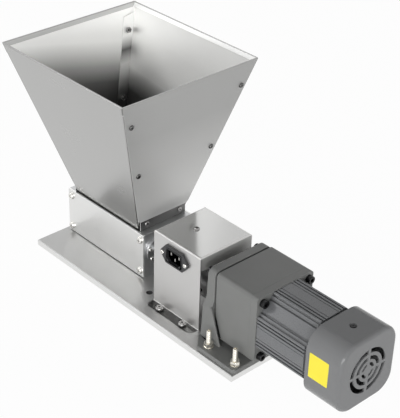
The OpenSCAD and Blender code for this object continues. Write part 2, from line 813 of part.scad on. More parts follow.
// Power inlet: places are seen from the front side, local +Z pointing out of the cover
inlet_screw_r = 1.5;
inlet_screw_l = 9;
module at_inlet() {
    translate([cover_x - inlet_off, cover_y0, cover_top - inlet_drop]) rotate([90, 0, 0]) children();
}
module at_inlet_screws() {
    at_inlet() for (s = [-1, 1]) translate([s * inlet_pitch / 2, 0, inlet_flange_t]) children();
}

// Socket outline with its two lower corners cut
module socket_2d(w, h, c) {
    polygon([[-w / 2 + c, -h / 2], [w / 2 - c, -h / 2], [w / 2, -h / 2 + c], [w / 2, h / 2],
        [-w / 2, h / 2], [-w / 2, -h / 2 + c]]);
}

inlet_face_w = 30;
inlet_face_h = 25;
ear_r = 4.2;
ear_out = 3.2;
ear_rise = 2.7;
socket_w = 24.6;
socket_h = 17;
socket_cut = 4.5;
rim_w = 1.2;
rim_h = 0.8;
cut_gap = 0.2;
module power_inlet() {
    half_w = inlet_face_w / 2;
    half_h = inlet_face_h / 2;
    ear_x = inlet_pitch / 2 + ear_out;
    color("#2b2c2e") difference() {
        union() {
            at_inlet() linear_extrude(inlet_flange_t) {
                square([inlet_face_w, inlet_face_h], center = true);
                for (s = [-1, 1]) {
                    translate([s * inlet_pitch / 2, 0]) circle(r = ear_r);
                    polygon([[s * (half_w - 1), -half_h], [s * half_w, -half_h], [s * ear_x, -ear_rise],
                        [s * ear_x, ear_rise], [s * half_w, half_h], [s * (half_w - 1), half_h]]);
                }
            }
            at_inlet() linear_extrude(inlet_flange_t + rim_h)
                socket_2d(socket_w + 2 * rim_w, socket_h + 2 * rim_w, socket_cut + rim_w / 2);
            at_inlet() translate([0, 0, -inlet_depth]) linear_extrude(inlet_depth + 1)
                square([cut_w - 2 * cut_gap, cut_h - 2 * cut_gap], center = true);
        }
        at_inlet() translate([0, 0, inlet_flange_t - socket_depth]) linear_extrude(socket_depth + 1)
            socket_2d(socket_w, socket_h, socket_cut);
        at_inlet_screws() translate([0, 0, -inlet_screw_l])
            cylinder(h = inlet_screw_l + 1, r = inlet_screw_r + screw_gap);
        at_pins() translate([-pin_w / 2, -pin_h / 2, -inlet_depth - 1]) cube([pin_w, pin_h, inlet_depth]);
    }
}

pin_w = 2;
pin_h = 4;
pin_x = 7;
pin_up = 2.2;
pin_down = 3.4;
pin_back = 2;
tab_w = 6.2;
tab_t = 0.8;
tab_l = 8;
module at_pins() {
    at_inlet() for (p = [[-pin_x, pin_up], [pin_x, pin_up], [0, -pin_down]])
        translate([p[0], p[1], 0]) children();
}

// Each pin ends in a flat tab behind the body
module inlet_pins() {
    color("#d6cfae") at_pins() {
        translate([-pin_w / 2, -pin_h / 2, -inlet_depth])
            cube([pin_w, pin_h, inlet_depth + inlet_flange_t - pin_back]);
        translate([-tab_t / 2, -tab_w / 2, -inlet_depth - tab_l]) cube([tab_t, tab_w, tab_l]);
    }
}

module inlet_screws() {
    color("#d8d8d6") at_inlet_screws() pan_screw(inlet_screw_r, inlet_screw_l, small_head_r, small_head_h);
}

small_nut_flats = 5.5;
small_nut_h = 2.4;
module inlet_nuts() {
    color("#d8d8d6") at_inlet_screws() translate([0, 0, -inlet_flange_t - cover_t - small_nut_h])
        hex_nut(inlet_screw_r, small_nut_flats, small_nut_h);
}

// Run capacitor, hung below the cover's top by its clip
clip_t = 1.2;
clip_w = 14;
clip_screw_r = 2;
clip_screw_l = 8;
clip_head_r = 3.6;
clip_head_h = 2.2;
clip_screw_y = 1.5;
clip_reach = 8;
clip_x = cover_x0 + clip_screw_x;
can_r = cap_can_d / 2;
can_off = 3;
can_tab_gap = 6;
can_tab_in = 0.5;
can_y = drive_y + can_r + can_off;
can_z = cover_top - cover_t - clip_t - can_r;
module at_clip_screw() {
    translate([clip_x, drive_y - clip_screw_y, cover_top]) children();
}

module run_capacitor() {
    x0 = cover_x - cap_can_l / 2;
    color("#e2e0d8") {
        bar(x0, x0 + cap_can_l, can_r, can_y, can_z);
        for (s = [-1, 1])
            translate([x0 + cap_can_l - can_tab_in, can_y + s * can_tab_gap - tab_w / 2, can_z - tab_t / 2])
                cube([tab_l + can_tab_in, tab_w, tab_t]);
    }
}

module capacitor_clip() {
    color("#b9bab8") difference() {
        union() {
            tube(clip_x - clip_w / 2, clip_x + clip_w / 2, can_r + clip_t, can_r, can_y, can_z);
            translate([clip_x - clip_w / 2, drive_y - clip_reach, can_z + can_r])
                cube([clip_w, can_y - drive_y + clip_reach, clip_t]);
        }
        at_clip_screw() translate([0, 0, -clip_screw_l])
            cylinder(h = clip_screw_l, r = clip_screw_r + screw_gap);
        bar(clip_x - clip_w, clip_x + clip_w, can_r, can_y, can_z);
    }
}

module clip_screw() {
    color("#d8d8d6") at_clip_screw() {
        pan_screw(clip_screw_r, clip_screw_l, clip_head_r, clip_head_h);
        translate([0, 0, -cover_t - clip_t - nut_h]) hex_nut(clip_screw_r, nut_flats, nut_h);
    }
}

// Jaw coupling: each hub has three jaws, and the spider has a leg in each of the six gaps
jaw_in = 9.5;
jaw_gap = 0.4;
jaw_step = 0.4;
jaw_half = 19;
leg_half = 10;
module sector_2d(r0, r1, a0, a1) {
    intersection() {
        difference() {
            circle(r = r1);
            circle(r = r0);
        }
        polygon([[0, 0], [2 * r1 * cos(a0), 2 * r1 * sin(a0)],
            [2 * r1 * cos((a0 + a1) / 2), 2 * r1 * sin((a0 + a1) / 2)],
            [2 * r1 * cos(a1), 2 * r1 * sin(a1)]]);
    }
}

module jaws(phase) {
    for (a = [0, 120, 240]) sector_2d(jaw_in, hub_r - jaw_step, a + phase - jaw_half, a + phase + jaw_half);
}

module hub(x0, shaft_r, jaw_x, phase, key_x) {
    difference() {
        union() {
            bar(x0, x0 + hub_l, hub_r, drive_y, axis_z);
            along_x(jaw_x, drive_y, axis_z) linear_extrude(spider_gap - jaw_gap) jaws(phase);
        }
        bar(x0 - 1, x0 + hub_l + spider_gap + 1, shaft_r, drive_y, axis_z);
        key(key_x, key_l, shaft_r, drive_y, axis_z);
        translate([x0 + hub_l / 2, drive_y, axis_z]) rotate([90, 0, 0])
            cylinder(h = hub_r + 1, r = set_r + screw_gap);
    }
}

set_r = 2.5;
set_sink = 1.5;
set_hex_r = 1.4;
set_hex_depth = 2;
shaft_fit = 0.02;
module mill_hub() {
    color("#c9cbcd") hub(hub_a_x0, journal_r + shaft_fit, hub_a_x1 - 0.1, 0, hub_a_x1 - key_in - key_l);
}
module motor_hub() {
    color("#c9cbcd") hub(hub_b_x0, out_shaft_r + shaft_fit, hub_a_x1 + jaw_gap + 0.1, 60, hub_b_x0 + key_in);
}

spider_in = 0.5;
spider_root = 2;
spider_rim = 1;
module coupling_spider() {
    color("#b23b2e") along_x(hub_a_x1 + jaw_gap, drive_y, axis_z) linear_extrude(spider_gap - 2 * jaw_gap) {
        circle(r = jaw_in - spider_in);
        for (a = [30:60:330]) sector_2d(jaw_in - spider_root, hub_r - spider_rim, a - leg_half, a + leg_half);
    }
}

module hub_set_screws() {
    color("#3a3b3d") for (p = [[hub_a_x0, journal_r], [hub_b_x0, out_shaft_r]])
        translate([p[0] + hub_l / 2, drive_y - p[1] - 0.1, axis_z]) rotate([90, 0, 0]) difference() {
            cylinder(h = hub_r - p[1] - set_sink, r = set_r);
            translate([0, 0, hub_r - p[1] - set_sink - set_hex_depth])
                cylinder(h = set_hex_depth + 1, r = set_hex_r, $fn = 6);
        }
}

module shaft_keys() {
    color("#8a8c8e") {
        key(hub_a_x1 - key_in - key_l, key_l, journal_r, drive_y, axis_z);
        key(hub_b_x0 + key_in, key_l, out_shaft_r, drive_y, axis_z);
    }
}

// Motor bracket: upright plate, foot under the gearbox and a gusset outside each of its flanks
boss_r = 17;
boss_l = 14;
gusset_gap = 1.5;
gusset_l = 16.5;
module at_frame_bolts(x) {
    for (sy = [-1, 1], sz = [-1, 1])
        translate([x, motor_y + sy * bolt_h, motor_z + sz * bolt_h]) rotate([0, 90, 0]) children();
}

module at_studs() {
    for (x = [bracket_x0 + stud_in, bracket_x0 + stud_in + stud_gap_x], s = [-1, 1])
        translate([x, motor_y + s * stud_gap_y / 2, 0]) children();
}

// Front outline of the upright: as wide as the gearbox above its waist and wider below it
module upright_2d(top) {
    half = frame_w / 2;
    wide = bracket_w / 2;
    step = wide - half;
    translate([0, top - upright_r]) {
        for (s = [-1, 1]) translate([s * (half - upright_r), 0]) circle(r = upright_r);
        translate([-half + upright_r, 0]) square([2 * (half - upright_r), upright_r]);
    }
    polygon([[-half, top - upright_r], [-half, bracket_waist + step], [-wide, bracket_waist - step],
        [-wide, 0], [wide, 0], [wide, bracket_waist - step], [half, bracket_waist + step],
        [half, top - upright_r]]);
}

upright_r = 8;
foot_r = 5;
stud_in = 24;
spot_r = 6.2;
spot_in = 0.4;
case_gap = 1;
module motor_bracket() {
    top = motor_z + frame_w / 2 - base_top;
    case_half = frame_w / 2 + case_gap;
    gusset_w = (bracket_w - frame_w) / 2 - gusset_gap;
    foot_y = bracket_foot_w / 2;
    color("#6d7072") difference() {
        union() {
            intersection() {
                along_x(bracket_x0, motor_y, base_top) linear_extrude(bracket_t) upright_2d(top);
                translate([bracket_x0, motor_y + bracket_w, base_top]) rotate([90, 0, 0])
                    linear_extrude(2 * bracket_w)
                        polygon([[0, 0], [bracket_t, 0], [bracket_t, top + 1], [bracket_lean, top + 1]]);
            }
            translate([bracket_x0, motor_y, base_top]) linear_extrude(bracket_foot_t) {
                polygon([[0, -foot_y + bracket_corner], [bracket_corner, -foot_y],
                    [bracket_foot_l - foot_r, -foot_y], [bracket_foot_l, -foot_y + foot_r],
                    [bracket_foot_l, foot_y - foot_r], [bracket_foot_l - foot_r, foot_y],
                    [bracket_corner, foot_y], [0, foot_y - bracket_corner]]);
                for (s = [-1, 1])
                    translate([bracket_foot_l - foot_r, s * (foot_y - foot_r)]) circle(r = foot_r);
            }
            for (s = [-1, 1])
                translate([gear_x0 - 0.01, motor_y + s * bracket_w / 2, base_top + bracket_foot_t - 0.01])
                    rotate([90, 0, 0]) translate([0, 0, s > 0 ? 0 : -gusset_w]) linear_extrude(gusset_w)
                        polygon([[0, 0], [gusset_l, 0], [0, bracket_waist - bracket_foot_t - gusset_w]]);
        }
        bar(bracket_x0 - 1, gear_x0 + 1, boss_r + screw_gap, motor_y, axis_z);
        at_frame_bolts(bracket_x0 - 1) cylinder(h = bracket_t + 2, r = frame_bolt_r + screw_gap);
        at_frame_bolts(bracket_x0 - 1) cylinder(h = 1 + bracket_lean + spot_in, r = spot_r);
        at_studs() cylinder(h = base_top + bracket_foot_t + 1, r = stud_r + screw_gap);
        translate([gear_x0, motor_y - case_half, motor_z - case_half])
            cube([bracket_foot_l, 2 * case_half, 2 * case_half]);
    }
}

washer_t = 1.2;
stud_hex_depth = 2.5;
stud_nut_flats = 10;
stud_nut_h = 5;
module bracket_studs() {
    top = base_top + bracket_foot_t + stud_h;
    color("#d9d4c8") at_studs() difference() {
        translate([0, 0, stud_floor]) cylinder(h = top - stud_floor, r = stud_r);
        translate([0, 0, top - stud_hex_depth]) cylinder(h = stud_hex_depth + 1, r = stud_r * 0.55, $fn = 6);
    }
}

module bracket_washers() {
    color("#d9d4c8") at_studs() translate([0, 0, base_top + bracket_foot_t]) difference() {
        cylinder(h = washer_t, r = 2 * stud_r);
        translate([0, 0, -1]) cylinder(h = washer_t + 2, r = stud_r + screw_gap);
    }
}

module bracket_nuts() {
    color("#d9d4c8") at_studs() translate([0, 0, base_top + bracket_foot_t + washer_t])
        hex_nut(stud_r, stud_nut_flats, stud_nut_h);
}

frame_bolt_r = 3;
face_screw_in = 16;
bolt_head_r = 5;
bolt_head_h = 6;
module bracket_face_screws() {
    seat_x = bracket_x0 + bracket_lean + spot_in;
    color("#2f3032") at_frame_bolts(seat_x) rotate([180, 0, 0])
        socket_screw(frame_bolt_r, gear_x0 - seat_x + face_screw_in - 1, bolt_head_r, bolt_head_h);
}

// Gearbox: a square cast case with corner pillars, open towards the motor, and with a shallow
// groove round its front where it meets the bracket
seam_w = 1.5;
seam_depth = 1.2;
case_wall = 6;
case_corner_r = 5;
case_inner_r = 3;
pillar_r = 8;
bearing_wall = 4;
bush_wall = 2;
step_l = 3;
out_bearing_r = 16;
out_bearing_t = 9;
mid_bush_r = 6;
mid_shaft_r = 4;
mid_boss_x1 = gear4_x - 1.5;
bush_l = 7;
module gearbox_housing() {
    inner = frame_w - 2 * case_wall;
    neck_w = frame_w - 2 * seam_depth;
    seat_x = gear_x0 + case_wall;
    color("#646768") difference() {
        union() {
            difference() {
                union() {
                    along_x(gear_x0, motor_y, motor_z) linear_extrude(case_wall)
                        round_rect(neck_w, neck_w, case_corner_r - seam_depth);
                    along_x(gear_x0 + seam_w, motor_y, motor_z) linear_extrude(gear_l - seam_w)
                        round_rect(frame_w, frame_w, case_corner_r);
                }
                along_x(gear_x0 + case_wall + 1, motor_y, motor_z) linear_extrude(gear_l) difference() {
                    round_rect(inner, inner, case_inner_r);
                    for (sy = [-1, 1], sz = [-1, 1])
                        translate([sy * bolt_h, sz * bolt_h]) circle(r = pillar_r);
                }
            }
            bar(gear_x0 - boss_l, gear_x0 + 1, boss_r, motor_y, axis_z);
            bar(seat_x, seat_x + out_bearing_t, out_bearing_r + bearing_wall, motor_y, axis_z);
            bar(seat_x, mid_boss_x1, mid_bush_r + bush_wall, mid_y, mid_z);
        }
        bar(seat_x, gear_x0 + gear_l, out_bearing_r, motor_y, axis_z);
        bar(gear_x0 - boss_l - 1, seat_x + 1, out_shaft_r + cap_bore_gap, motor_y, axis_z);
        bar(mid_boss_x1 - bush_l, mid_boss_x1 + 1, mid_bush_r, mid_y, mid_z);
        bar(mid_boss_x1 - bush_l - step_l, mid_boss_x1, mid_shaft_r + 1, mid_y, mid_z);
        at_frame_bolts(gear_x0 - 1) cylinder(h = face_screw_in + 2, r = frame_bolt_r + screw_gap);
        at_frame_bolts(flange_x0 - frame_bolt_in)
            cylinder(h = frame_bolt_in + 1, r = frame_bolt_r + screw_gap);
    }
}

rear_journal_r = 6;
rear_bush_r = 9;
module gear_bearings() {
    seat_x = gear_x0 + case_wall;
    color("#b8babc") {
        tube(seat_x, seat_x + out_bearing_t, out_bearing_r, out_shaft_r + run_gap, motor_y, axis_z);
        tube(mid_boss_x1 - bush_l, mid_boss_x1, mid_bush_r, mid_shaft_r + run_gap, mid_y, mid_z);
        tube(flange_x0, flange_x0 + bush_l, rear_bush_r, rear_journal_r + run_gap, motor_y, axis_z);
        tube(flange_x0, flange_x0 + bush_l, mid_bush_r, mid_shaft_r + run_gap, mid_y, mid_z);
    }
}

module output_shaft() {
    color("#a9abad") difference() {
        union() {
            bar(hub_b_x0, gear4_x + gear4_t, out_shaft_r, motor_y, axis_z);
            bar(gear4_x + gear4_t - 0.01, flange_x0 + bush_l - gear_end_gap, rear_journal_r, motor_y, axis_z);
        }
        key(hub_b_x0 + key_in, key_l, out_shaft_r, motor_y, axis_z);
    }
}

module output_wheel() {
    color("#97999b") along_x(gear4_x, motor_y, axis_z) rotate([0, 0, ang34 + 180 + 180 / teeth_4])
        linear_extrude(gear4_t) difference() {
            gear_2d(teeth_4, 0.8 * gear_m, 1.25 * gear_m, backlash);
            circle(r = out_shaft_r);
        }
}

module intermediate_gear() {
    color("#97999b") {
        along_x(gear4_x - gear_end_gap, mid_y, mid_z) rotate([0, 0, ang34])
            linear_extrude(gear2_x - gear4_x + gear_end_gap)
                gear_2d(teeth_3, gear_m, 1.2 * gear_m, backlash);
        along_x(gear2_x, mid_y, mid_z) rotate([0, 0, ang12 + 180 + 180 / teeth_2])
            linear_extrude(gear2_t) gear_2d(teeth_2, 0.8 * gear_m, 1.25 * gear_m, backlash);
        bar(mid_boss_x1 - bush_l, flange_x0 + bush_l - gear_end_gap, mid_shaft_r, mid_y, mid_z);
    }
}

// Front flange of the motor, which closes the gearbox and holds the shafts' rear bearings
rotor_bearing_r = 14;
rotor_bearing_t = 8;
spigot_l = 9;
module motor_flange() {
    color("#646768") difference() {
        union() {
            along_x(flange_x0, motor_y, motor_z) linear_extrude(flange_t)
                round_rect(frame_w, frame_w, case_corner_r);
            bar(motor_x0 - 0.01, motor_x0 + spigot_l, rotor_bearing_r + bearing_wall, motor_y, motor_z);
        }
        bar(flange_x0 - 1, flange_x0 + bush_l, rear_bush_r, motor_y, axis_z);
        bar(flange_x0 - 1, flange_x0 + bush_l, mid_bush_r, mid_y, mid_z);
        bar(flange_x0 - 1, motor_x0 + spigot_l + 1, rotor_shaft_r + 1, motor_y, motor_z);
        bar(motor_x0 + spigot_l - rotor_bearing_t, motor_x0 + spigot_l + 1, rotor_bearing_r,
            motor_y, motor_z);
        at_frame_bolts(flange_x0 - 1) cylinder(h = flange_t + 2, r = frame_bolt_r + screw_gap);
    }
}

frame_bolt_in = 20;
module frame_bolts() {
    color("#26272a") at_frame_bolts(motor_x0)
        socket_screw(frame_bolt_r, flange_t + frame_bolt_in - 1, bolt_head_r, bolt_head_h);
}

// Motor body: eight-sided extrusion with cooling grooves on both sides of every edge. Its upright
// and level faces are wider than the slanting ones.
stator_r = 36;
fin_in = 3;
fin_pitch = 4.5;
module octagon_2d() {
    far = motor_flats / 2;
    near = motor_face / 2;
    polygon([[far, -near], [far, near], [near, far], [-near, far],
        [-far, near], [-far, -near], [-near, -far], [near, -far]]);
}

// Grooves beside both edges of the face at angle a, which is dist from the axis and half wide
module fin_grooves_2d(a, dist, half) {
    rotate(a) for (s = [-1, 1], k = [0, 1])
        translate([dist - fin_depth, s * (half - fin_in - fin_pitch * k) - fin_w / 2])
            square([fin_depth + 1, fin_w]);
}

module motor_section_2d() {
    far = motor_flats / 2;
    near = motor_face / 2;
    difference() {
        octagon_2d();
        circle(r = stator_r);
        for (a = [0:90:270]) {
            fin_grooves_2d(a, far, near);
            fin_grooves_2d(a + 45, (far + near) * sin45, (far - near) * sin45);
        }
    }
}

// The body's rear end is stepped down to go into the fan cover, with an open seam between the two
fan_fit = 0.3;
fan_seam = 1;
module motor_body() {
    step_w = frame_w - 2 * (fan_wall + fan_fit);
    full_l = motor_l - fan_overlap - fan_seam;
    color("#5f6266") along_x(motor_x0, motor_y, motor_z) {
        linear_extrude(full_l) motor_section_2d();
        translate([0, 0, full_l - 0.01]) linear_extrude(motor_l - full_l + 0.01) intersection() {
            motor_section_2d();
            round_rect(step_w, step_w, fan_corner_r - fan_wall);
        }
    }
}

core_in = 19;
core_x0 = motor_x0 + core_in;
core_l = 42;
rotor_gap = 0.4;
core_bore = 22;
module stator_core() {
    color("#7d7f82") tube(core_x0, core_x0 + core_l, stator_r - shaft_fit, core_bore + rotor_gap,
        motor_y, motor_z);
}

winding_l = 8;
winding_in = 3;
module stator_windings() {
    color("#a8622d") for (x = [core_x0 - winding_l, core_x0 + core_l])
        tube(x, x + winding_l, stator_r - winding_in, core_bore + winding_in, motor_y, motor_z);
}

pinion_over = 1;
shaft_end_in = 14;
module rotor_shaft() {
    color("#a9abad") {
        along_x(gear2_x - pinion_over, motor_y, motor_z) rotate([0, 0, ang12])
            linear_extrude(gear2_t + 3 * pinion_over) gear_2d(teeth_1, gear_m, 1.15 * gear_m, backlash);
        bar(gear2_x + gear2_t + 1.5 * pinion_over, fan_x1 - shaft_end_in, rotor_shaft_r, motor_y, motor_z);
    }
}

end_ring_l = 5;
end_ring_in = 3;
module rotor_core() {
    color("#8b8d90") difference() {
        union() {
            bar(core_x0, core_x0 + core_l, core_bore, motor_y, motor_z);
            bar(core_x0 - end_ring_l, core_x0 + core_l + end_ring_l, core_bore - end_ring_in,
                motor_y, motor_z);
        }
        bar(core_x0 - end_ring_l - 1, core_x0 + core_l + end_ring_l + 1, rotor_shaft_r + shaft_fit,
            motor_y, motor_z);
    }
}

bell_t = 5;
module rotor_bearings() {
    x1 = motor_x1 + bell_t - 1;
    color("#b8babc") {
        tube(motor_x0 + spigot_l - rotor_bearing_t, motor_x0 + spigot_l, rotor_bearing_r,
            rotor_shaft_r + run_gap, motor_y, motor_z);
        tube(x1 - rotor_bearing_t, x1, rotor_bearing_r, rotor_shaft_r + run_gap, motor_y, motor_z);
    }
}

// Rear end bell: it stands in the body's bore and holds the fan cover on two arms
arm_w = 12;
arm_t = 4;
arm_end = 6;
arm_root = 30;
bell_spigot_l = 5;
bell_fit = 0.1;
bell_rim = 3;
vent_in = 26;
vent_r = 6;
fan_screw_in = 26;
fan_screw_x = fan_x1 - fan_screw_in;
module motor_end_bell() {
    x1 = motor_x1 + bell_t - 1;
    reach = frame_w / 2 - fan_wall;
    color("#5f6266") difference() {
        union() {
            bar(motor_x1 - bell_spigot_l, motor_x1, stator_r - bell_fit, motor_y, motor_z);
            bar(motor_x1 - 0.01, motor_x1 + bell_t, stator_r + bell_rim, motor_y, motor_z);
            for (a = [0, 180]) translate([motor_x1, motor_y, motor_z]) rotate([a, 0, 0])
                translate([0, -arm_w / 2, 0]) {
                    translate([0, 0, reach - arm_t]) cube([fan_screw_x + arm_end - motor_x1, arm_w, arm_t]);
                    translate([0, 0, arm_root]) cube([bell_t, arm_w, reach - arm_root]);
                }
        }
        bar(x1 - rotor_bearing_t, x1 + 2, rotor_bearing_r, motor_y, motor_z);
        bar(motor_x1 - bell_spigot_l - 1, motor_x1 + bell_t + 1, rotor_shaft_r + 1, motor_y, motor_z);
        for (a = [45:90:315]) along_x(motor_x1 - bell_spigot_l - 1, motor_y, motor_z) rotate([0, 0, a])
            translate([vent_in, 0, 0]) cylinder(h = bell_spigot_l + bell_t + 2, r = vent_r);
        at_fan_screws() translate([0, 0, -2 * arm_t]) cylinder(h = 3 * arm_t, r = fan_screw_r + screw_gap);
    }
}

blade_t = 1.6;
blade_h = 15;
fan_in = 30;
fan_hub_r = 11;
fan_disc_t = 2;
module cooling_fan() {
    hub_x = fan_x1 - fan_in;
    color("#3b3d40") difference() {
        union() {
            bar(hub_x, hub_x + blade_h + 1, fan_hub_r, motor_y, motor_z);
            bar(hub_x, hub_x + fan_disc_t, fan_r, motor_y, motor_z);
            along_x(hub_x + 1, motor_y, motor_z) linear_extrude(blade_h)
                for (a = [0:40:320]) rotate(a) translate([fan_hub_r - 2, -blade_t / 2])
                    square([fan_r - fan_hub_r + 1.5, blade_t]);
        }
        bar(hub_x - 1, hub_x + blade_h + 3, rotor_shaft_r + shaft_fit, motor_y, motor_z);
    }
}

fan_screw_r = 2;
fan_screw_l = 5;
fan_head_r = 3.5;
fan_head_h = 1.1;
fan_recess_r = 4;
fan_recess = 1.2;
module at_fan_screws() {
    translate([fan_screw_x, motor_y, motor_z + frame_w / 2 - fan_recess]) children();
    translate([fan_screw_x, motor_y, motor_z - frame_w / 2 + fan_recess]) rotate([180, 0, 0]) children();
}

// Grille slots: three rings of slots, each split by four bars
slot_rings = [[6.5, 10], [14, 18.5], [23, 28.5]];
slot_bar = 4;
module grille_2d() {
    difference() {
        for (r = slot_rings) difference() {
            circle(r = r[1]);
            circle(r = r[0]);
        }
        for (a = [0, 90]) rotate(a) square([frame_w, slot_bar], center = true);
    }
}

fan_edge_r = 5;
module fan_cover() {
    inner = frame_w - 2 * fan_wall;
    color("#6b6e70") difference() {
        along_x(fan_x0, motor_y, motor_z) round_block(fan_cover_l, frame_w, fan_corner_r, fan_edge_r);
        along_x(fan_x0 - 1, motor_y, motor_z)
            round_block(fan_cover_l - fan_wall + 1, inner, fan_corner_r - fan_wall, fan_edge_r - fan_wall);
        along_x(fan_x1 - fan_wall - 1, motor_y, motor_z) linear_extrude(fan_wall + 2) grille_2d();
        at_fan_screws() cylinder(h = fan_recess + 1, r = fan_recess_r);
        at_fan_screws() translate([0, 0, -fan_screw_l])
            cylinder(h = fan_screw_l + 1, r = fan_screw_r + screw_gap);
    }
}

module fan_cover_screws() {
    color("#2f3032") at_fan_screws() pan_screw(fan_screw_r, fan_screw_l, fan_head_r, fan_head_h);
}

base_plate();
mill_end_left();
mill_end_right();
mill_side_front();
mill_side_rear();
mill_side_screws();
mill_foot_screws();
drive_bushes();
bearing_caps();
bearing_cap_screws();
drive_roller();
idler_roller();
gap_adjuster_left();
gap_adjuster_right();
adjuster_lock_screws();
hopper_front();
hopper_rear();
hopper_left();
hopper_right();
hopper_screws();
hopper_nuts();
coupling_cover();
cover_screws();
power_inlet();
inlet_pins();
inlet_screws();
inlet_nuts();
run_capacitor();
capacitor_clip();
clip_screw();
mill_hub();
coupling_spider();
motor_hub();
hub_set_screws();
shaft_keys();
motor_bracket();
bracket_studs();
bracket_nuts();
bracket_washers();
bracket_face_screws();
gearbox_housing();
gear_bearings();
output_shaft();
output_wheel();
intermediate_gear();
motor_flange();
frame_bolts();
motor_body();
stator_core();
stator_windings();
rotor_bearings();
rotor_shaft();
rotor_core();
motor_end_bell();
cooling_fan();
fan_cover();
fan_cover_screws();
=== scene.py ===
import json
import math

import bpy
from mathutils import Euler, Matrix, Vector

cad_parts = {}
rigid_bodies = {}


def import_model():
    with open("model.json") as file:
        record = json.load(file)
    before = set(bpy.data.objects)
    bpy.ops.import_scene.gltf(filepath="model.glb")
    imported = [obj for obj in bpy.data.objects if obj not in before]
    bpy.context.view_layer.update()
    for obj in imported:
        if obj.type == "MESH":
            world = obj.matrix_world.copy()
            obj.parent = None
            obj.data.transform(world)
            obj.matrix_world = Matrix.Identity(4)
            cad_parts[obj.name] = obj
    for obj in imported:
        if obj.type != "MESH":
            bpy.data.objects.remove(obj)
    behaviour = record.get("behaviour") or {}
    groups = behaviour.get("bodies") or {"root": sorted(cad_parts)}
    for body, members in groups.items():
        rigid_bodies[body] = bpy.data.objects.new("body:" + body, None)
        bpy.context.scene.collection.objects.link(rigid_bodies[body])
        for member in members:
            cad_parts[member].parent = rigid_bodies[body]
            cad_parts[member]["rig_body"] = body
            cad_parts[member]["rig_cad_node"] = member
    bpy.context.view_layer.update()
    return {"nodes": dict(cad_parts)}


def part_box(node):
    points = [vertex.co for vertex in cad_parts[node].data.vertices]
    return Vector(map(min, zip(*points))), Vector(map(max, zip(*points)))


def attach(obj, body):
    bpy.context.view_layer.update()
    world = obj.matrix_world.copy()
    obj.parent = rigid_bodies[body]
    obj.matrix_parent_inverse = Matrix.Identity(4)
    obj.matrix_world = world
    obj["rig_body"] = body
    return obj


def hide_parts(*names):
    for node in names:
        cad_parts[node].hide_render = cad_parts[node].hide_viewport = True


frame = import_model()


# Base plate. A thick plate of machined aluminium that the mill, the cover and the motor bracket
# are screwed to. Its faces are brushed lengthwise and its upper edges are lightly broken.
STRAIGHT = 0.9  # share along an axis from which an edge or a normal counts as straight along it
NEAR = 0.001  # play, in metres, when faces, edges and corners are picked by their place


def add_node(nodes, kind, **inputs):
    """Adds a shader node and sets its inputs, whose spaces are written as underscores."""
    node = nodes.new("ShaderNode" + kind)
    for name, value in inputs.items():
        node.inputs[name.replace("_", " ")].default_value = value
    return node


def bare_material(name, metallic, gloss=0.5):
    """A new material with its nodes, its links and its shader."""
    material = bpy.data.materials.new(name)
    material.use_nodes = True
    nodes = material.node_tree.nodes
    shader = nodes["Principled BSDF"]
    shader.inputs["Metallic"].default_value = metallic
    shader.inputs["Specular IOR Level"].default_value = gloss
    return material, nodes, material.node_tree.links, shader


def toned(nodes, links, source, limits, colour, tone):
    """A colour that goes from darker to lighter by tone as the source goes between its limits."""
    tint = add_node(nodes, "ValToRGB")
    for stop, limit, share in zip(tint.color_ramp.elements, limits, (1 - tone, 1 + tone)):
        stop.position = limit
        stop.color = [min(1, c * share) for c in colour] + [1]
    links.new(source, tint.inputs["Fac"])
    return tint.outputs["Color"]


def swung(nodes, links, source, limits, middle, swing):
    """A value that swings about its middle as the source goes between its limits."""
    low, high = limits
    value = add_node(nodes, "MapRange", From_Min=low, From_Max=high,
                     To_Min=middle - swing, To_Max=middle + swing)
    links.new(source, value.inputs["Value"])
    return value.outputs["Result"]


def raised(nodes, links, source, relief, depth):
    """A normal that follows the source as fine relief."""
    bump = add_node(nodes, "Bump", Strength=relief, Distance=depth)
    links.new(source, bump.inputs["Height"])
    return bump.outputs["Normal"]


def brushed(name, colour, roughness, along, tone=0.06, relief=0.04, metallic=1.0):
    """Metal with fine brush lines along one axis and a slow change of tone over the sheet."""
    long_cells, short_cells, line_share, line_depth = 18, 1500, 0.25, 0.0002
    limits, swing = (0.4, 0.85), 0.02
    material, nodes, links, shader = bare_material(name, metallic)
    place = add_node(nodes, "TexCoord")
    cells = [long_cells if axis == along else short_cells for axis in "XYZ"]
    stretch = add_node(nodes, "Mapping", Scale=cells)
    lines = add_node(nodes, "TexNoise", Scale=1, Detail=3)
    cloud = add_node(nodes, "TexNoise", Scale=14, Detail=4)
    both = add_node(nodes, "Math")
    both.operation = "MULTIPLY_ADD"
    both.inputs[1].default_value = line_share
    links.new(place.outputs["Object"], stretch.inputs["Vector"])
    links.new(stretch.outputs["Vector"], lines.inputs["Vector"])
    links.new(place.outputs["Object"], cloud.inputs["Vector"])
    links.new(lines.outputs["Fac"], both.inputs[0])
    links.new(cloud.outputs["Fac"], both.inputs[2])
    fine, mixed = lines.outputs["Fac"], both.outputs["Value"]
    links.new(swung(nodes, links, mixed, limits, roughness, swing), shader.inputs["Roughness"])
    links.new(toned(nodes, links, mixed, limits, colour, tone), shader.inputs["Base Color"])
    links.new(raised(nodes, links, fine, relief, line_depth), shader.inputs["Normal"])
    return material


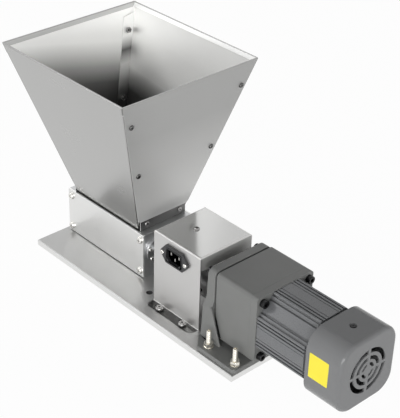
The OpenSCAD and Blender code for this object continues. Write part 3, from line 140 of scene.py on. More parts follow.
def coated(name, colour, roughness, size=900, relief=0.12, tone=0.08, metallic=0.0, gloss=0.5):
    """Paint or moulding with a fine surface and a slow change of tone."""
    limits, swing, peel_depth = (0.3, 0.7), 0.05, 0.0003
    material, nodes, links, shader = bare_material(name, metallic, gloss)
    place = add_node(nodes, "TexCoord")
    peel = add_node(nodes, "TexNoise", Scale=size, Detail=2)
    cloud = add_node(nodes, "TexNoise", Scale=22, Detail=5)
    links.new(place.outputs["Object"], peel.inputs["Vector"])
    links.new(place.outputs["Object"], cloud.inputs["Vector"])
    fine, slow = peel.outputs["Fac"], cloud.outputs["Fac"]
    links.new(toned(nodes, links, slow, limits, colour, tone), shader.inputs["Base Color"])
    links.new(swung(nodes, links, fine, limits, roughness, swing), shader.inputs["Roughness"])
    links.new(raised(nodes, links, fine, relief, peel_depth), shader.inputs["Normal"])
    return material


def deselect():
    """Leaves edit mode and selects nothing."""
    if bpy.context.object and bpy.context.object.mode != "OBJECT":
        bpy.ops.object.mode_set(mode="OBJECT")
    bpy.ops.object.select_all(action="DESELECT")


def work(piece, kind, **settings):
    """Adds a modifier to a piece and applies it."""
    deselect()
    piece.select_set(True)
    bpy.context.view_layer.objects.active = piece
    modifier = piece.modifiers.new(kind.lower(), kind)
    for setting, value in settings.items():
        setattr(modifier, setting, value)
    bpy.ops.object.modifier_apply(modifier=modifier.name)


def soften(piece, width, segments=2, angle=35):
    """Breaks the edges of a piece that are sharper than an angle in degrees."""
    work(piece, "BEVEL", width=width, segments=segments, limit_method="ANGLE",
         angle_limit=math.radians(angle), use_clamp_overlap=False, harden_normals=False)


def smooth(piece, angle=32):
    """Shades a piece smooth up to an angle in degrees, with its large faces left flat."""
    deselect()
    piece.select_set(True)
    bpy.context.view_layer.objects.active = piece
    bpy.ops.object.shade_smooth_by_angle(angle=math.radians(angle))
    work(piece, "WEIGHTED_NORMAL", keep_sharp=True, weight=80)


def copied(piece):
    """A copy of a piece with its own mesh."""
    copy = piece.copy()
    copy.data = piece.data.copy()
    bpy.context.collection.objects.link(copy)
    return copy


def rounded_copy(node, width):
    """A copy of a CAD node's solid with its edges broken, as a file or a casting leaves them."""
    touching, flat = 0.000005, math.radians(0.5)
    deselect()
    piece = copied(frame["nodes"][node])
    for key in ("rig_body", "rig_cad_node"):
        if key in piece:
            del piece[key]
    piece.parent = None
    piece.name = piece.data.name = node + "_finished"
    bpy.context.view_layer.objects.active = piece
    bpy.ops.object.mode_set(mode="EDIT")
    bpy.ops.mesh.select_all(action="SELECT")
    bpy.ops.mesh.remove_doubles(threshold=touching)
    bpy.ops.mesh.dissolve_limited(angle_limit=flat)
    bpy.ops.object.mode_set(mode="OBJECT")
    if width:
        soften(piece, width)
    smooth(piece)
    return piece


def fit(piece, material, body, *nodes):
    """Gives a finished piece its material and lets it stand for CAD nodes on a body."""
    piece.data.materials.clear()
    piece.data.materials.append(material)
    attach(piece, body)
    if nodes:
        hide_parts(*nodes)


def refinish(piece, material, wanted):
    """Gives the faces that wanted() accepts a finish of their own."""
    piece.data.materials.append(material)
    for face in piece.data.polygons:
        if wanted(face.center, face.normal):
            face.material_index = len(piece.data.materials) - 1


base_metal = brushed("brushed_base_plate", (0.45, 0.45, 0.445), 0.42, "X", 0.03, 0.02, 0.8)
# The milled sides and edges are a lighter grey than the brushed top: partly their own finish and partly
# painted light.
milled_edge_and_light = brushed("milled_plate_edge_painted_light", (0.74, 0.74, 0.73), 0.3, "X", 0.02, 0.02)
# The bores' walls are painted near black: painted shade.
painted_shade_bore = coated("bore_painted_shade", (0.03, 0.03, 0.03), 0.5, 900, 0.1, 0.2)
base = rounded_copy("base_plate", 0)
fit(base, base_metal, "frame", "base_plate")
low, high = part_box("base_plate")
upright = 0.5
rim = 2 * NEAR
refinish(base, milled_edge_and_light, lambda at, normal: abs(normal.z) < upright)
refinish(base, painted_shade_bore, lambda at, normal: abs(normal.z) < STRAIGHT
         and low.x + rim < at.x < high.x - rim and low.y + rim < at.y < high.y - rim)


# Mill body. Two thick machined end plates carry the rollers, and two thin polished side plates
# close it, each held by four button head screws that go into the end plates.
def settle(name):
    """Names the new primitive and moves its place, turn and size into its mesh."""
    piece = bpy.context.object
    piece.name = piece.data.name = name
    bpy.ops.object.transform_apply(location=True, rotation=True, scale=True)
    return piece


def block(name, low, high):
    """A box between two corners."""
    low, high = Vector(low), Vector(high)
    deselect()
    bpy.ops.mesh.primitive_cube_add(size=1, location=(low + high) / 2, scale=high - low)
    return settle(name)


def pick(piece, kind, wanted):
    """Opens a piece in edit mode with only its faces, edges or corners that wanted() accepts."""
    bpy.context.view_layer.objects.active = piece
    bpy.ops.object.mode_set(mode="EDIT")
    bpy.ops.mesh.select_mode(type=kind)
    bpy.ops.mesh.select_all(action="DESELECT")
    bpy.ops.object.mode_set(mode="OBJECT")
    mesh = piece.data
    if kind == "FACE":
        for face in mesh.polygons:
            face.select = wanted(face.center, face.normal)
    elif kind == "EDGE":
        for edge in mesh.edges:
            a, b = (mesh.vertices[i].co for i in edge.vertices)
            edge.select = wanted((a + b) / 2, (b - a).normalized())
    else:
        for corner in mesh.vertices:
            corner.select = wanted(corner.co, corner.normal)
    bpy.ops.object.mode_set(mode="EDIT")


def ease(piece, kind, wanted, width, segments):
    """Bevels the edges, the corners or the rims of the faces that wanted() accepts."""
    pick(piece, kind, wanted)
    affected = "VERTICES" if kind == "VERT" else "EDGES"
    bpy.ops.mesh.bevel(offset=width, segments=segments, affect=affected)
    bpy.ops.object.mode_set(mode="OBJECT")


side_metal = brushed("polished_side_plate", (0.76, 0.76, 0.75), 0.3, "X", 0.02, 0.006)
end_metal = brushed("milled_end_plate", (0.52, 0.525, 0.53), 0.4, "Y", 0.05, 0.04)
plate_corner = 0.0012
plate_edge = 0.0004

for node in ("mill_side_front", "mill_side_rear"):
    low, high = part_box(node)
    plate = block(node + "_sheet", low, high)
    ease(plate, "EDGE", lambda at, way: abs(way.y) > STRAIGHT, plate_corner, 4)
    soften(plate, plate_edge, 3, 50)
    smooth(plate)
    fit(plate, side_metal, "frame", node)

for node in ("mill_end_left", "mill_end_right"):
    fit(rounded_copy(node, plate_edge), end_metal, "frame", node)


# Screws. Zinc plated steel with a low domed head and a pressed cross recess. One is modelled for
# each size and a copy is turned into every seat of its kind.
X, Y, Z = Vector((1, 0, 0)), Vector((0, 1, 0)), Vector((0, 0, 1))


def dress(node, material):
    """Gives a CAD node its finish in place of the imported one."""
    for slot in frame["nodes"][node].material_slots:
        slot.material = material


def rod(name, radius, start, end, sides=48):
    """A round bar, or a prism with few sides, from one point to another."""
    start, end = Vector(start), Vector(end)
    turn = (end - start).to_track_quat("Z", "Y").to_euler()
    deselect()
    bpy.ops.mesh.primitive_cylinder_add(vertices=sides, radius=radius, depth=(end - start).length,
                                        location=(start + end) / 2, rotation=turn)
    return settle(name)


def cut(piece, cutter, operation="DIFFERENCE"):
    """Cuts a piece with another, which is then thrown away."""
    work(piece, "BOOLEAN", object=cutter, operation=operation, solver="EXACT")
    bpy.data.objects.remove(cutter)


def join(name, pieces):
    """Makes one piece of several."""
    deselect()
    for piece in pieces:
        piece.select_set(True)
    bpy.context.view_layer.objects.active = pieces[0]
    if len(pieces) > 1:
        bpy.ops.object.join()
    pieces[0].name = pieces[0].data.name = name
    return pieces[0]


def seats(node, ways):
    """For each loose part of a CAD node: the middle of its outer end and the way it points."""
    digits, level, fewest = 6, 0.00002, 6
    home = {}

    def root(key):
        while home[key] != key:
            key = home[key]
        return key

    mesh = frame["nodes"][node].data
    for face in mesh.polygons:
        keys = [tuple(round(c, digits) for c in mesh.vertices[i].co) for i in face.vertices]
        for key in keys:
            home.setdefault(key, key)
            home[root(key)] = root(keys[0])
    parts = {}
    for key in home:
        parts.setdefault(root(key), []).append(Vector(key))
    found = []
    for points in parts.values():
        best = (0, None, None)
        for way in ways:
            far = max(p.dot(way) for p in points)
            ring = [p for p in points if p.dot(way) > far - level]
            middle = sum(ring, Vector()) / len(ring)
            reach = max((p - middle).length for p in ring)
            if len(ring) >= fewest and reach > best[0]:
                best = (reach, middle, Vector(way))
        found.append(best[1:])
    return sorted(found, key=lambda seat: tuple(seat[0]))


def fasten(model, node, ways, material, turn=37):
    """Puts a copy of a fastener that points up from the origin into every seat of a CAD node."""
    copies = []
    for number, (middle, way) in enumerate(seats(node, ways)):
        copy = copied(model)
        spin = Euler((0, 0, math.radians(turn * number))).to_matrix().to_4x4()
        aim = way.to_track_quat("Z", "Y").to_matrix().to_4x4()
        copy.data.transform(Matrix.Translation(middle) @ aim @ spin)
        copies.append(copy)
    bpy.data.objects.remove(model)
    piece = join(node + "_set", copies)
    fit(piece, material, "frame", node)
    return piece


def pan_screw(radius, height, shank, length):
    """A screw with a domed head and a cross recess, whose head top is at the origin."""
    dome, recess_depth, recess_taper, shank_top = 0.62, 0.6, 0.6, 0.7
    reach, half_width = 0.52, 0.13
    head = rod("screw_head", radius, (0, 0, -height), (0, 0, 0), 40)
    ease(head, "FACE", lambda at, normal: normal.z > STRAIGHT, height * dome, 5)
    for slot in ((reach, half_width), (half_width, reach)):
        x, y = slot[0] * radius, slot[1] * radius
        recess = block("recess", (-x, -y, -height * recess_depth), (x, y, height))
        pick(recess, "FACE", lambda at, normal: normal.z < -STRAIGHT)
        bpy.ops.transform.resize(value=(recess_taper, recess_taper, 1))
        bpy.ops.object.mode_set(mode="OBJECT")
        cut(head, recess)
    stem = rod("screw_shank", shank, (0, 0, -height - length), (0, 0, -height * shank_top), 24)
    screw = join("pan_screw", [head, stem])
    smooth(screw, 40)
    return screw


zinc = brushed("zinc_plated_screw", (0.78, 0.77, 0.74), 0.2, "Z", 0.05, 0.01)
steel = brushed("plain_steel_screw", (0.34, 0.335, 0.33), 0.26, "Z", 0.08, 0.01)
screw = pan_screw(radius=0.0048, height=0.0028, shank=0.0025, length=0.0119)
fasten(screw, "mill_side_screws", [Y, -Y], zinc)
dress("mill_foot_screws", zinc)


# Rollers. Two fluted rollers of hardened steel turn on bronze bushes and in eccentric adjusters,
# whose turned grips are locked from the far side.
roller_metal = brushed("hardened_roller", (0.42, 0.425, 0.43), 0.3, "X", 0.1, 0.05)
turned_metal = brushed("turned_adjuster", (0.66, 0.66, 0.65), 0.25, "X", 0.06, 0.04)
bronze = brushed("bronze_bush", (0.58, 0.42, 0.22), 0.3, "X", 0.08, 0.03)
for node in ("drive_roller", "idler_roller"):
    dress(node, roller_metal)
for node in ("gap_adjuster_left", "gap_adjuster_right", "adjuster_lock_screws"):
    dress(node, turned_metal)
dress("drive_bushes", bronze)


# Bearing caps. Turned aluminium rings round both ends of the drive shaft, which close the bushes
# behind them. Six small screws hold each to its end plate.
cap_metal = brushed("turned_bearing_cap", (0.56, 0.565, 0.57), 0.34, "Y", 0.05, 0.03)
cap_edge = 0.0004
fit(rounded_copy("bearing_caps", cap_edge), cap_metal, "frame", "bearing_caps")
screw = pan_screw(radius=0.0027, height=0.0018, shank=0.0015, length=0.01)
fasten(screw, "bearing_cap_screws", [X, -X], zinc)


# Hopper. Four sheets of brushed stainless steel. The near and far sheets have flanges that lie
# inside the end sheets and are screwed to them. Every rim is folded inward into a hem.
sheet = 0.0012
mill_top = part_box("mill_end_left")[1].z
mouth_low, mouth_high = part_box("hopper_front")[0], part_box("hopper_right")[1]
middle_x = (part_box("mill_end_left")[0].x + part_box("mill_end_right")[1].x) / 2
mouth_z = 0.2835
foot_half = Vector((0.0633, 0.0370))
mouth_half = Vector((mouth_high.x - middle_x, -mouth_low.y))
rise = mouth_z - mill_top
spread = (mouth_half - foot_half) / rise
lean = [math.atan(s) for s in spread]
collar_z = mill_top + 0.0131
collar_step, collar_width, collar_gap = 0.003, 0.0009, 0.0003
foot_drop = 0.0049
flange, flange_slope = 0.0166, 0.008
flange_foot = collar_z + 0.0016
flange_top = mill_top + 0.200
hem, hem_gap, hem_end = 0.006, 0.0001, 0.0045
fold = 0.0007
sheet_edge = 0.00018
near_sheet_gap, end_sheet_gap = 0.00185, 0.001


def half_at(axis, z):
    """Half of the hopper's length, on axis 0, or of its width, on axis 1, at a height."""
    return foot_half[axis] + (z - mill_top) * spread[axis]


near_out = Vector((0, -math.cos(lean[1]), -math.sin(lean[1])))
end_out = Vector((math.cos(lean[0]), 0, -math.sin(lean[0])))
near_up = Vector((0, -math.sin(lean[1]), math.cos(lean[1])))
end_up = Vector((math.sin(lean[0]), 0, math.cos(lean[0])))


def leaned_sheet(name, axis, low_z, high_z, low_half, high_half):
    """A flat sheet on one side of the hopper: axis 0 is the right end and axis 1 the near side."""
    up, out, toward = (end_up, end_out, X) if axis == 0 else (near_up, near_out, -Y)
    length = (high_z - low_z) / math.cos(lean[axis])
    middle_z = (low_z + high_z) / 2
    middle = Vector((middle_x, 0, middle_z)) + toward * half_at(axis, middle_z) - out * sheet / 2
    turn = (math.pi / 2 + lean[axis], 0, math.pi / 2 if axis == 0 else 0)
    deselect()
    bpy.ops.mesh.primitive_plane_add(size=1, location=middle, rotation=turn)
    bpy.context.object.scale = (2 * low_half, length, 1)
    piece = settle(name)
    ratio = high_half / low_half
    pick(piece, "EDGE", lambda at, way: at.z > high_z - 2 * NEAR)
    bpy.ops.transform.resize(value=(1, ratio, 1) if axis == 0 else (ratio, 1, 1))
    return piece, up, out


def draw_edges(move):
    """Draws new sheet out of the picked edges."""
    bpy.ops.mesh.extrude_edges_move(TRANSFORM_OT_translate={"value": move})


def hemmed(piece, axis, up, out):
    """Folds the upper edge inward and down, a little short of the corners."""
    pick(piece, "EDGE", lambda at, way: at.z > mouth_z - 2 * NEAR)
    draw_edges(-out * (sheet + hem_gap))
    draw_edges(-up * hem)
    inside = 1 - hem_end / mouth_half[1 - axis]
    bpy.ops.transform.resize(value=(1, inside, 1) if axis == 0 else (inside, 1, 1))
    bpy.ops.object.mode_set(mode="OBJECT")


def face_outward(piece):
    """Turns every face of a piece outward."""
    deselect()
    piece.select_set(True)
    bpy.context.view_layer.objects.active = piece
    bpy.ops.object.mode_set(mode="EDIT")
    bpy.ops.mesh.select_all(action="SELECT")
    bpy.ops.mesh.normals_make_consistent(inside=False)
    bpy.ops.object.mode_set(mode="OBJECT")


def stiffened(piece):
    """Rounds the bends, gives the sheet its thickness and breaks its cut edges."""
    work(piece, "BEVEL", width=fold, segments=3, limit_method="ANGLE", angle_limit=math.radians(25))
    work(piece, "SOLIDIFY", thickness=sheet, offset=0, use_even_offset=True)
    face_outward(piece)
    soften(piece, sheet_edge, 2, 60)
    smooth(piece, 30)


def turned_copy(piece, name):
    """The same piece on the opposite side of the hopper."""
    copy = copied(piece)
    copy.name = copy.data.name = name
    about = Matrix.Translation((middle_x, 0, 0))
    copy.data.transform(about @ Matrix.Rotation(math.pi, 4, "Z") @ about.inverted())
    return copy


foot_z = mill_top - foot_drop
inset = near_sheet_gap / math.cos(lean[0])
near_sheet, up, out = leaned_sheet(
    "hopper_near_sheet", 1, foot_z, mouth_z, half_at(0, foot_z) - inset, half_at(0, mouth_z) - inset)
for height in (flange_foot, flange_top):
    bpy.ops.mesh.select_all(action="SELECT")
    bpy.ops.mesh.bisect(plane_co=(middle_x, 0, height), plane_no=(0, 0, 1))
for side in (1, -1):
    corner = Vector((side * spread[0], -spread[1], 1)).normalized()
    facing = Vector((side * end_out.x, 0, end_out.z))
    inward = corner.cross(facing).normalized()
    inward = inward if inward.y > 0 else -inward

    def along_corner(at, way):
        return side * (at.x - middle_x) > half_at(0, at.z) - 4 * NEAR and abs(way.z) > upright

    pick(near_sheet, "EDGE", lambda at, way: along_corner(at, way) and flange_foot < at.z < flange_top)
    draw_edges(inward * flange)
    corner_top = Vector((middle_x + side * half_at(0, flange_top), -half_at(1, flange_top), flange_top))
    tip = corner_top + inward * flange
    pick(near_sheet, "VERT", lambda at, way: (at - tip).length < 6 * NEAR)
    bpy.ops.transform.translate(value=-corner * flange_slope)
    pick(near_sheet, "EDGE", lambda at, way: along_corner(at, way) and at.z < flange_foot
         and at.y < -half_at(1, at.z) + 3 * NEAR)
    draw_edges(Y * flange)
hemmed(near_sheet, 1, up, out)
stiffened(near_sheet)
far_sheet = turned_copy(near_sheet, "hopper_far_sheet")

collar_half = half_at(1, mill_top) + collar_width
step_z = collar_z + collar_step
right_sheet, up, out = leaned_sheet(
    "hopper_right_sheet", 0, step_z, mouth_z, half_at(1, step_z) - end_sheet_gap,
    half_at(1, mouth_z) - end_sheet_gap)
pick(right_sheet, "EDGE", lambda at, way: at.z < step_z + NEAR)
draw_edges(-up * (step_z - collar_z) / math.cos(lean[0]))
bpy.ops.transform.resize(value=(1, collar_half / half_at(1, step_z), 1))
draw_edges(-Z * (collar_z - mill_top - collar_gap))
bpy.ops.object.mode_set(mode="OBJECT")
hemmed(right_sheet, 0, up, out)
stiffened(right_sheet)
left_sheet = turned_copy(right_sheet, "hopper_left_sheet")


def painted_shade_sheet(name, along, tilt, *stops, roughness=0.36, metallic=1.0):
    """Sheet metal whose grey changes from the hopper's foot to its rim, painted light and shade. Each
    stop is a share of the hopper's height and a grey, and the tilt lets the stops climb along X and Y."""
    material = brushed(name, (0.9, 0.9, 0.89), roughness, along, 0.015, 0.006, metallic)
    nodes, links = material.node_tree.nodes, material.node_tree.links
    blue_share = 0.985
    level = add_node(nodes, "VectorMath")
    level.operation = "DOT_PRODUCT"
    level.inputs[1].default_value = Vector((tilt[0], tilt[1], 1)) / rise
    depth = add_node(nodes, "Math")
    depth.inputs[1].default_value = -(mill_top + tilt[0] * middle_x) / rise
    shade_ramp = add_node(nodes, "ValToRGB")
    while len(shade_ramp.color_ramp.elements) < len(stops):
        shade_ramp.color_ramp.elements.new(0.5)
    for stop, (position, grey) in zip(shade_ramp.color_ramp.elements, stops):
        stop.position = position
        stop.color = (grey, grey, grey * blue_share, 1)
    links.new(nodes["Texture Coordinate"].outputs["Object"], level.inputs[0])
    links.new(level.outputs["Value"], depth.inputs[0])
    links.new(depth.outputs["Value"], shade_ramp.inputs["Fac"])
    links.new(shade_ramp.outputs["Color"], nodes["Principled BSDF"].inputs["Base Color"])
    return material


near_metal = brushed("hopper_sheet_lengthwise", (0.44, 0.44, 0.433), 0.26, "X", 0.015, 0.006)
# The collars at the end sheets' foot are painted dark: painted shade.
painted_shade_collar = brushed("hopper_collar_painted_shade", (0.16, 0.16, 0.157), 0.3, "Y", 0.03, 0.01)
# Painted light and shade: the end sheets' outsides lighten toward the foot, the insides darken toward it,
# and the flanges are painted dark low down and light near the top.
end_sheet_light_and_shade = painted_shade_sheet(
    "hopper_sheet_crosswise_painted_shade", "Y", (0, 0),
    (0, 0.66), (0.2, 0.6), (0.45, 0.48), (0.72, 0.39), (1, 0.385), roughness=0.42, metallic=0.4)
# The near and right sheets' insides are a lighter grey than their outsides: painted light.
painted_light_inside = brushed("hopper_inside_painted_light", (0.85, 0.85, 0.84), 0.36, "X", 0.01, 0.006)
inside_light_and_shade = painted_shade_sheet(
    "hopper_inside_lengthwise_painted_shade", "X", (0.1, 0),
    (0.46, 0.11), (0.53, 0.46), (0.59, 0.84), (0.66, 0.86), (0.8, 0.72), (1, 0.68), roughness=0.48)
inside_end_light_and_shade = painted_shade_sheet(
    "hopper_inside_crosswise_painted_shade", "Y", (0, 0.21),
    (0.5, 0.1), (0.62, 0.125), (0.72, 0.34), (0.8, 0.62), (0.87, 0.86), (1, 0.9))
flange_light_and_shade = painted_shade_sheet(
    "hopper_flange_painted_light", "Z", (0, 0),
    (0.45, 0.07), (0.55, 0.3), (0.66, 0.5), (0.74, 0.12), (0.82, 0.9), (1, 0.97))
# The rims' tops and the left hem are painted dark and the far hem light: painted shade and light.
painted_shade_rim = brushed("hopper_rim_fold_painted_shade", (0.34, 0.34, 0.335), 0.3, "X", 0.02, 0.006)
painted_light_far_hem = brushed("hopper_hem_painted_light", (0.93, 0.93, 0.92), 0.3, "X", 0.015, 0.006)
painted_shade_left_hem = brushed("hopper_hem_painted_shade", (0.5, 0.5, 0.493), 0.3, "Y", 0.015, 0.006)

facing = 0.01
fit(near_sheet, near_metal, "frame", "hopper_front")
fit(far_sheet, near_metal, "frame", "hopper_rear")
fit(right_sheet, end_sheet_light_and_shade, "frame", "hopper_right")
fit(left_sheet, end_sheet_light_and_shade, "frame", "hopper_left")
# The faces below take the painted light and shade: insides, flanges, collars, hems and rims.
for piece, inside in ((near_sheet, painted_light_inside), (far_sheet, inside_light_and_shade)):
    refinish(piece, inside, lambda at, normal: normal.y * at.y < -facing)
    refinish(piece, flange_light_and_shade,
             lambda at, normal: normal.x * (middle_x - at.x) > facing and abs(normal.x) > 0.6)
for piece, inside in ((right_sheet, painted_light_inside), (left_sheet, inside_end_light_and_shade)):
    refinish(piece, inside, lambda at, normal: normal.x * (middle_x - at.x) > facing)
    refinish(piece, painted_shade_collar,
             lambda at, normal: normal.x * (at.x - middle_x) > facing and at.z < collar_z)
for piece, hem_light_and_shade in ((far_sheet, painted_light_far_hem), (left_sheet, painted_shade_left_hem)):
    refinish(piece, hem_light_and_shade,
             lambda at, normal: at.z > mouth_z - hem and abs(at.x - middle_x) < half_at(0, at.z) - sheet
             and abs(at.y) < half_at(1, at.z) - sheet)
for piece in (near_sheet, far_sheet, right_sheet, left_sheet):
    refinish(piece, painted_shade_rim, lambda at, normal: at.z > mouth_z - NEAR and normal.z > 0.3)

# The screws above the collars are painted darker than the collars' screws: painted shade.
painted_shade_screw = brushed("hopper_screw_painted_shade", (0.13, 0.13, 0.128), 0.16, "Z", 0.08, 0.01)
screw = pan_screw(radius=0.0034, height=0.002, shank=0.002, length=0.007)
left_out = Vector((-end_out.x, 0, end_out.z))
screws = fasten(screw, "hopper_screws", [end_out, left_out, X, -X], steel)
refinish(screws, painted_shade_screw, lambda at, normal: at.z > collar_z + 5 * NEAR)
dress("hopper_nuts", steel)


# Cover. One bent sheet of stainless steel over the coupling, with a foot flange on each side and a
# lip at each open end. Pan screws hold its feet, and one in its top holds the capacitor's clip.
cover_low, cover_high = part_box("coupling_cover")
cover_sheet, cover_edge, top_bend = 0.0015, 0.0002, 0.0025
foot_width, foot_corner, foot_bend = 0.014, 0.008, 0.0009
lip, lip_corner, lip_bend = 0.018, 0.005, 0.0018
wall_low, wall_high = cover_low.y + foot_width, cover_high.y - foot_width
cover = block("cover_sheet", (cover_low.x, wall_low, cover_low.z), (cover_high.x, wall_high, cover_high.z))
pick(cover, "FACE", lambda at, normal: abs(normal.x) > STRAIGHT or normal.z < -STRAIGHT)
bpy.ops.mesh.delete(type="FACE")
for side, wall in ((-1, wall_low), (1, wall_high)):
    pick(cover, "EDGE", lambda at, way: at.z < cover_low.z + NEAR and abs(at.y - wall) < NEAR)
    draw_edges(Y * side * foot_width)
ease(cover, "EDGE", lambda at, way: abs(way.x) > STRAIGHT and at.z > cover_high.z - NEAR, top_bend, 5)
ease(cover, "EDGE", lambda at, way: abs(way.x) > STRAIGHT and at.z < cover_low.z + NEAR
     and wall_low - NEAR < at.y < wall_high + NEAR, foot_bend, 3)
for x in (cover_high.x, cover_low.x):
    def top_end(at, way):
        return at.z > cover_high.z - NEAR / 10 and abs(at.x - x) < NEAR and abs(way.y) > STRAIGHT

    pick(cover, "EDGE", top_end)
    draw_edges(-Z * lip)
    ease(cover, "VERT", lambda at, way: abs(at.x - x) < NEAR and abs(at.z - cover_high.z + lip) < NEAR,
         lip_corner, 5)
    ease(cover, "EDGE", top_end, lip_bend, 4)
ease(cover, "VERT", lambda at, way: at.z < cover_low.z + NEAR
     and (at.y < cover_low.y + NEAR or at.y > cover_high.y - NEAR), foot_corner, 6)
face_outward(cover)
work(cover, "SOLIDIFY", thickness=cover_sheet, offset=-1, use_even_offset=True)
soften(cover, cover_edge, 2, 60)
smooth(cover, 30)


def leaning(material, slope):
    """Tilts the shading of a flat face by a slope along X and Y, as on a sheet that isn't quite
    flat, and returns the material."""
    nodes, links = material.node_tree.nodes, material.node_tree.links
    lift = add_node(nodes, "Bump", Distance=1)
    height = add_node(nodes, "VectorMath")
    height.operation = "DOT_PRODUCT"
    height.inputs[1].default_value = slope
    links.new(nodes["Texture Coordinate"].outputs["Object"], height.inputs[0])
    links.new(height.outputs["Value"], lift.inputs["Height"])
    links.new(lift.outputs["Normal"], nodes["Bump"].inputs["Normal"])
    return material


cover_metal = brushed("cover_sheet_metal", (0.57, 0.565, 0.557), 0.38, "X", 0.012, 0.003, 0.85)
top_metal = leaning(brushed("cover_top_metal", (0.56, 0.56, 0.552), 0.14, "X", 0.012, 0.003, 0.85),
                    slope=(-0.125, -0.125, 0))
# The lips and the feet are painted a darker grey than the rest of the sheet: painted shade.
painted_shade_lip = brushed("cover_lip_painted_shade", (0.40, 0.40, 0.39), 0.5, "Y", 0.02, 0.01, 0.5)
painted_shade_foot = brushed("cover_foot_painted_shade", (0.29, 0.29, 0.285), 0.35, "X", 0.03, 0.01)
fit(cover, cover_metal, "frame", "coupling_cover")
refinish(cover, top_metal, lambda at, normal: normal.z > 0.99 and at.z > cover_high.z - NEAR)
refinish(cover, painted_shade_lip, lambda at, normal: abs(normal.x) > STRAIGHT
         and at.z > cover_high.z - lip - NEAR and wall_low + 2 * NEAR < at.y < wall_high - 2 * NEAR)
refinish(cover, painted_shade_foot, lambda at, normal: normal.z > STRAIGHT and at.z < cover_low.z + 3 * NEAR)
screw = pan_screw(radius=0.005, height=0.003, shank=0.0025, length=0.007)
fasten(screw, "cover_screws", [Z], steel)


# Under the cover. The run capacitor hangs in a sheet clip, held by the screw in the cover's top,
# above the jaw coupling with its red spider.
can_plastic = coated("capacitor_can", (0.72, 0.70, 0.65), 0.35, 700, 0.05, 0.03)
hub_metal = brushed("turned_hub", (0.62, 0.625, 0.63), 0.28, "X", 0.06, 0.04)
spider_rubber = coated("spider_rubber", (0.35, 0.03, 0.02), 0.55, 500, 0.15, 0.1)
# Its black serves the black screws and also the painted shade on the motor's neck.
black_steel_and_shade = coated("blackened_steel_and_painted_shade", (0.012, 0.012, 0.013), 0.2, 1200, 0.04, 0.2, 0.6)
hub_edge = 0.0004
dress("run_capacitor", can_plastic)
dress("capacitor_clip", end_sheet_light_and_shade)
dress("clip_screw", steel)
for node in ("mill_hub", "motor_hub"):
    fit(rounded_copy(node, hub_edge), hub_metal, "drive", node)
dress("coupling_spider", spider_rubber)
dress("hub_set_screws", black_steel_and_shade)
dress("shaft_keys", roller_metal)


# Power inlet. A black moulded socket with a waisted flange, three flat pins and two screws. Its
# lower corners are cut so that the cord only fits one way round.
inlet_low, inlet_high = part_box("power_inlet")
inlet_x, inlet_z = (inlet_low.x + inlet_high.x) / 2, (inlet_low.z + inlet_high.z) / 2
rim_height, rim_width = 0.0008, 0.0012
face_y, back_y = inlet_low.y + rim_height, wall_low
socket_half = Vector((0.0123, 0.0085))
socket_depth = 0.016
socket_corner, socket_slant = 0.001, 0.0045
rim_half = socket_half + Vector((rim_width, rim_width))
face_half = Vector((0.0147, 0.0125))
ear_half = Vector((0.0242, 0.00155))
ear_corner = 0.00145
rear_half = Vector((0.014, 0.01))
rear_wall, rear_depth = 0.0012, socket_depth - 0.0025
inlet_edge = 0.0003


def draw_faces(move):
    """Draws the picked faces out of the piece, or into it."""
    bpy.ops.mesh.extrude_region_move(TRANSFORM_OT_translate={"value": move})


def along_socket(at, way):
    """Accepts the edges that run into the wall at the socket and its rim."""
    return abs(way.y) > STRAIGHT and abs(at.x - inlet_x) < rim_half.x + NEAR / 2


inlet = block("inlet_moulding", (inlet_x - face_half.x, face_y, inlet_z - face_half.y),
              (inlet_x + face_half.x, back_y, inlet_z + face_half.y))
for side in (1, -1):
    pick(inlet, "FACE", lambda at, normal: normal.x * side > STRAIGHT)
    draw_faces(X * side * (ear_half.x - face_half.x))
    bpy.ops.transform.resize(value=(1, 1, ear_half.y / face_half.y))
ease(inlet, "EDGE", lambda at, way: abs(way.y) > STRAIGHT and abs(at.x - inlet_x) > ear_half.x - NEAR,
     ear_corner, 5)
pick(inlet, "FACE", lambda at, normal: normal.y < -STRAIGHT and abs(at.x - inlet_x) < 10 * NEAR)
step = face_half.x - rim_half.x
bpy.ops.mesh.inset(thickness=step, depth=0)
bpy.ops.transform.resize(value=(1, 1, rim_half.y / (face_half.y - step)))
draw_faces(-Y * rim_height)
bpy.ops.mesh.inset(thickness=rim_width, depth=0)
draw_faces(Y * (socket_depth + rim_height))
ease(inlet, "EDGE", lambda at, way: along_socket(at, way) and at.z < inlet_z - 6 * NEAR, socket_slant, 1)
ease(inlet, "EDGE", lambda at, way: along_socket(at, way) and at.z > inlet_z + 6 * NEAR, socket_corner, 3)
soften(inlet, inlet_edge, 2, 40)
rear = block("inlet_body", (inlet_x - rear_half.x, back_y, inlet_z - rear_half.y),
             (inlet_x + rear_half.x, inlet_high.y, inlet_z + rear_half.y))
pick(rear, "FACE", lambda at, normal: normal.y < -STRAIGHT)
bpy.ops.mesh.inset(thickness=rear_wall, depth=0)
draw_faces(Y * rear_depth)
bpy.ops.object.mode_set(mode="OBJECT")
inlet = join("inlet_moulding", [inlet, rear])
smooth(inlet, 35)
inlet_black = coated("inlet_moulding_black", (0.022, 0.022, 0.024), 0.38, 900, 0.08, 0.15)
fit(inlet, inlet_black, "frame", "power_inlet")
pin_metal = brushed("inlet_pin_metal", (0.42, 0.41, 0.39), 0.34, "Y", 0.05, 0.01)
fit(rounded_copy("inlet_pins", inlet_edge), pin_metal, "frame", "inlet_pins")
screw = pan_screw(radius=0.0027, height=0.0018, shank=0.0015, length=0.009)
fasten(screw, "inlet_screws", [-Y], zinc)
dress("inlet_nuts", zinc)


